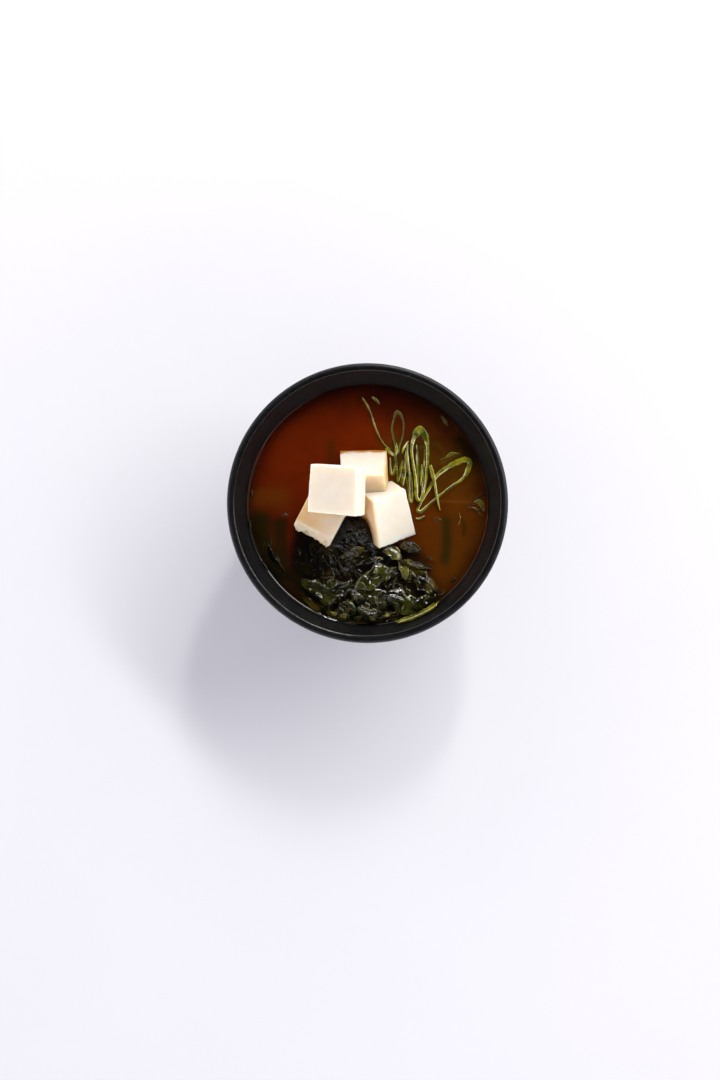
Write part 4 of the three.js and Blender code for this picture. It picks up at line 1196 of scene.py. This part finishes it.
# Torn fibres that feather the sliver against the wall.
FEATHERS = (
    [(11.6, -50.6), (15.4, -49.8), (19.6, -48.4)],
    [(14.0, -49.6), (18.8, -48.3), (23.4, -46.2)],
    [(17.8, -49.4), (22.6, -47.4), (26.6, -44.9)],
    [(20.6, -47.4), (24.8, -45.4), (28.6, -42.6)],
    [(24.6, -46.4), (28.0, -44.2), (30.6, -41.8)],
)
FILM_THICKNESS = 0.2
FILM_LIFT = 0.55  # above the broth, about level with the tops of the shreds
FEATHER_WIDTH = 1.0
FEATHERS_WITHIN = 53.2  # they lie above the broth, where the wall is wider
SOAKED_FEATHERS = 0.35
parts, soaking = [], []
sliver = surface_of([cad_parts["scallion_sliver"]])
for index, line in enumerate(FEATHERS):
    part = blade(
        line,
        FEATHER_WIDTH,
        160 + index,
        lambda x, y: height_on(sliver, x, y) - FILM_THICKNESS,
        tone=0.9,
        thickness=FILM_THICKNESS,
        step=0.3,
        across=9,
        arch=0.4,
        blunt=0.3,
        within=FEATHERS_WITHIN,
    )
    parts.append(part)
    soaking.append(np.full(len(part[0]), SOAKED_FEATHERS))
for index, (line, width, soak_share, tone) in enumerate(FILMS):
    part = blade(
        line,
        width,
        140 + index,
        lambda x, y: broth_level(x, y) + FILM_LIFT,
        tone=tone,
        thickness=FILM_THICKNESS,
        step=0.3,
        across=13,
        arch=0.2,
        ripple=0.1,
        blunt=0.45,
    )
    parts.append(part)
    soaking.append(np.full(len(part[0]), soak_share))
vertices, faces, tones = joined(parts)
films = new_piece("scallion_films", vertices, faces, scallion_leaf)
paint(films, "tone", tones)
paint(films, "soaked", np.concatenate(soaking))
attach(films, "root")
garnish.append(films)

# ---------------------------------------------------------------- soup
# Red miso stirred into dashi and poured in last: a reddish brown broth, slightly cloudy, that light
# enters for some millimetres. It climbs a little at the wall and at everything that floats in it.

SOUP_SECTORS = 480
SOUP_RINGS = 150
FLOAT_CLIMB, FLOAT_REACH = 0.3, 0.6  # how far the broth climbs at what floats in it
UNDER = ((51.4, 49.4), (46.5, 36.3), (39.7, 23.3), (29.7, 13.8), (16.0, 9.5))  # radius and height
SOUP_FOOT = 8.7
RED_BROTH, BROWN_BROTH = "#6c2002", "#5e3004"
BROWN_FROM, BROWN_OVER = 14, 7  # where the red turns brown, counted to the right, and how softly
GLAZE_AND_SHADE_REACH = 4.2  # how far from the wall it darkens: glaze showing through, and painted shade
PAINTED_LIGHT_DEPTH = 1.6  # painted light: how much deeper the broth counts where the lamp shines in, so it darkens less
SHADE_FROM, SHADE_OVER, SHADE = 39, 3, 0.45  # where the rim's painted shadow starts, how softly, how strongly

# What lies under the surface and shows through, as a line, half its width, the haze round it, the
# broth's colour over it, and how much of that shows.
SUNK = (
    ([(-46.5, -7.5), (-46.0, -18), (-42.0, -28), (-36.5, -35)], 5.4, 2.4, "#2c2408", 0.95),
    ([(-37.6, -8.5), (-37.4, -24.0)], 3.2, 1.6, "#2a2008", 0.92),
    ([(-26.0, -9.0), (-26.6, -20), (-24.0, -30)], 4.6, 1.8, "#170f07", 0.96),
    ([(-22, -24), (0, -26), (14, -30)], 12.5, 3.0, "#14100a", 0.97),
    ([(-24, -40), (-8, -47), (10, -47), (22, -42)], 6.5, 2.6, "#17140a", 0.96),
    ([(20, -38), (27, -40)], 4.5, 3.0, "#241c06", 0.9),
    ([(-40, -29), (-31, -36), (-22, -43)], 5.6, 3.0, "#201c08", 0.92),
    ([(-35.0, -34.0), (-30.4, -39.0)], 1.2, 1.6, "#4a2607", 0.7),
    ([(33.9, -7.5), (34.2, -15), (33.4, -23.8)], 2.0, 1.8, "#262407", 0.85),
    ([(41.6, -7.4), (41.6, -13.0)], 0.6, 0.9, "#2a1c06", 0.7),
    ([(-15.7, 26.9), (-16.1, 19.5)], 1.6, 1.6, "#3a2406", 0.6),
    ([(40.0, 27.8), (45.6, 21.2)], 2.4, 2.0, "#161804", 0.8),
    ([(22, 26), (22.5, 8)], 1.6, 1.8, "#3c3408", 0.7),
    ([(13, 26), (13.5, 10)], 2.0, 2.2, "#3a3408", 0.75),
    ([(13, 24), (20, 8)], 6.0, 6.0, "#4c3a06", 0.55),
    ([(26, 22), (33, 12), (40, 15)], 5.0, 6.0, "#4e3a07", 0.5),
    ([(29, 26), (36, 22), (44, 20)], 2.6, 3.0, "#3a2a06", 0.55),
    # No sunk thing: painted shadow of the rim along the back right.
    ([(6, 43), (20, 37), (33, 28)], 4.0, 5.0, "#361204", 0.65),
    # No sunk thing: paler, more orange broth along the left wall.
    ([(-50, 3), (-38, 3)], 3.4, 4.0, "#763d0b", 0.75),
    ([(27.0, 25.6), (30.1, 26.5), (33.1, 23.0), (32.6, 17.3)], 0.7, 1.0, "#5a3a0a", 0.6),
    ([(31.5, 17.9), (40.0, 22.6)], 0.25, 0.5, "#6a5c20", 0.7),
    ([(19.9, 24.9), (25.7, 25.3)], 0.25, 0.5, "#5c5016", 0.7),
    ([(30.7, 1.7), (48.0, 0.9)], 0.2, 0.6, "#7a5020", 0.6),
)


def waterline(pieces):
    """Points where the pieces break the surface."""
    found = []
    for piece in pieces:
        mesh = piece.data
        points = np.empty(len(mesh.vertices) * 3)
        mesh.vertices.foreach_get("co", points)
        points = points.reshape(-1, 3) / MM
        edges = np.empty(len(mesh.edges) * 2, int)
        mesh.edges.foreach_get("vertices", edges)
        a, b = points[edges.reshape(-1, 2)[:, 0]], points[edges.reshape(-1, 2)[:, 1]]
        cross = (a[:, 2] - SOUP_LEVEL) * (b[:, 2] - SOUP_LEVEL) < 0
        a, b = a[cross], b[cross]
        share = ((SOUP_LEVEL - a[:, 2]) / (b[:, 2] - a[:, 2]))[:, None]
        found.append(a + (b - a) * share)
    return np.vstack(found)


shore = waterline(garnish)
tree_of_shore = KDTree(len(shore))
for index, point in enumerate(shore):
    tree_of_shore.insert((point[0], point[1], 0), index)
tree_of_shore.balance()

radii = WALL_RADIUS * (1 - (1 - np.arange(1, SOUP_RINGS + 1) / SOUP_RINGS) ** 1.25)
angles = 2 * np.pi * np.arange(SOUP_SECTORS) / SOUP_SECTORS
plan = np.vstack([[(0.0, 0.0)]] + [np.column_stack([r * np.cos(angles), r * np.sin(angles)]) for r in radii])
to_shore = np.array([tree_of_shore.find((x, y, 0))[2] for x, y in plan])
to_wall = WALL_RADIUS - np.linalg.norm(plan, axis=1)
climb = WALL_CLIMB * np.exp(-to_wall / CLIMB_REACH) + FLOAT_CLIMB * np.exp(-to_shore / FLOAT_REACH)
levels = SOUP_LEVEL + np.minimum(climb, WALL_CLIMB)
rings = [
    np.column_stack([np.cos(angles) * r, np.sin(angles) * r, np.full(SOUP_SECTORS, high)])
    for r, high in UNDER
]
vertices = np.vstack([np.column_stack([plan, levels]), *rings, [(0, 0, SOUP_FOOT)]])

# The broth is red at the left and browner at the right, over the paler scallion.
plan = vertices[:, :2]
right = 1 / (1 + np.exp(-(plan[:, 0] * 0.9 - plan[:, 1] * 0.3 - BROWN_FROM) / BROWN_OVER))[:, None]
broth = np.array(srgb(RED_BROTH))[:3] * (1 - right) + np.array(srgb(BROWN_BROTH))[:3] * right
for line, half_width, haze, colour, strength in SUNK:
    away = distance_to_line(plan, line) - half_width
    cover = strength / (1 + np.exp(np.clip(away / (haze * 0.4), -30, 30)))[:, None]
    broth = broth * (1 - cover) + np.array(srgb(colour))[:3] * cover
# Towards the wall the broth is made darker, partly for the black glaze showing through shallow broth and
# partly as painted shade of the wall, least at the right, where painted lamplight shines in. Under the window
# a painted shadow of the rim darkens it.
depth = WALL_RADIUS - np.linalg.norm(plan, axis=1)
depth += PAINTED_LIGHT_DEPTH * np.clip((plan[:, 0] * 0.94 - plan[:, 1] * 0.34) / WALL_RADIUS, 0, 1)
broth *= (0.10 + 0.90 * (1 - np.exp(-((depth / GLAZE_AND_SHADE_REACH) ** 1.5))))[:, None]
broth *= 1 - SHADE / (1 + np.exp(-(plan[:, 1:2] - SHADE_FROM) / SHADE_OVER))

red_miso = new_material("red_miso_broth")
tree = red_miso.node_tree
place = add_node(tree, "TexCoord").outputs["Object"]
# The broth's colour, with its painted shade and light.
tint_and_painted_shade = add_node(tree, "Attribute", {"attribute_name": "broth"}).outputs["Color"]
# Miso hangs in the broth in clouds of about a centimetre.
clouds = add_node(tree, "TexNoise", inputs={"Vector": place, "Scale": 110.0, "Detail": 4.0})
murk = add_node(
    tree,
    "MapRange",
    inputs={"Value": clouds.outputs[0], "From Min": 0.3, "From Max": 0.7, "To Min": 0.82, "To Max": 1.1},
)
colour = add_node(tree, "VectorMath", {"operation": "SCALE"}, {0: tint_and_painted_shade, "Scale": murk.outputs[0]})
shader = add_node(
    tree,
    "BsdfPrincipled",
    {"subsurface_method": "RANDOM_WALK"},
    {
        "Base Color": colour.outputs[0],
        "Roughness": 0.05,
        "IOR": 1.33,
        "Subsurface Weight": 1.0,
        "Subsurface Radius": (1.0, 0.3, 0.08),
        "Subsurface Scale": 0.0035,
    },
)
add_node(tree, "OutputMaterial", inputs={"Surface": shader.outputs[0]})

soup = new_piece("soup_poured", vertices, ring_faces(SOUP_SECTORS, SOUP_RINGS + len(UNDER)), red_miso)
layer = soup.data.attributes.new("broth", "FLOAT_COLOR", "POINT")
layer.data.foreach_set("color", np.column_stack([broth, np.ones(len(broth))]).astype(np.float32).ravel())
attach(soup, "root")
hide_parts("soup")
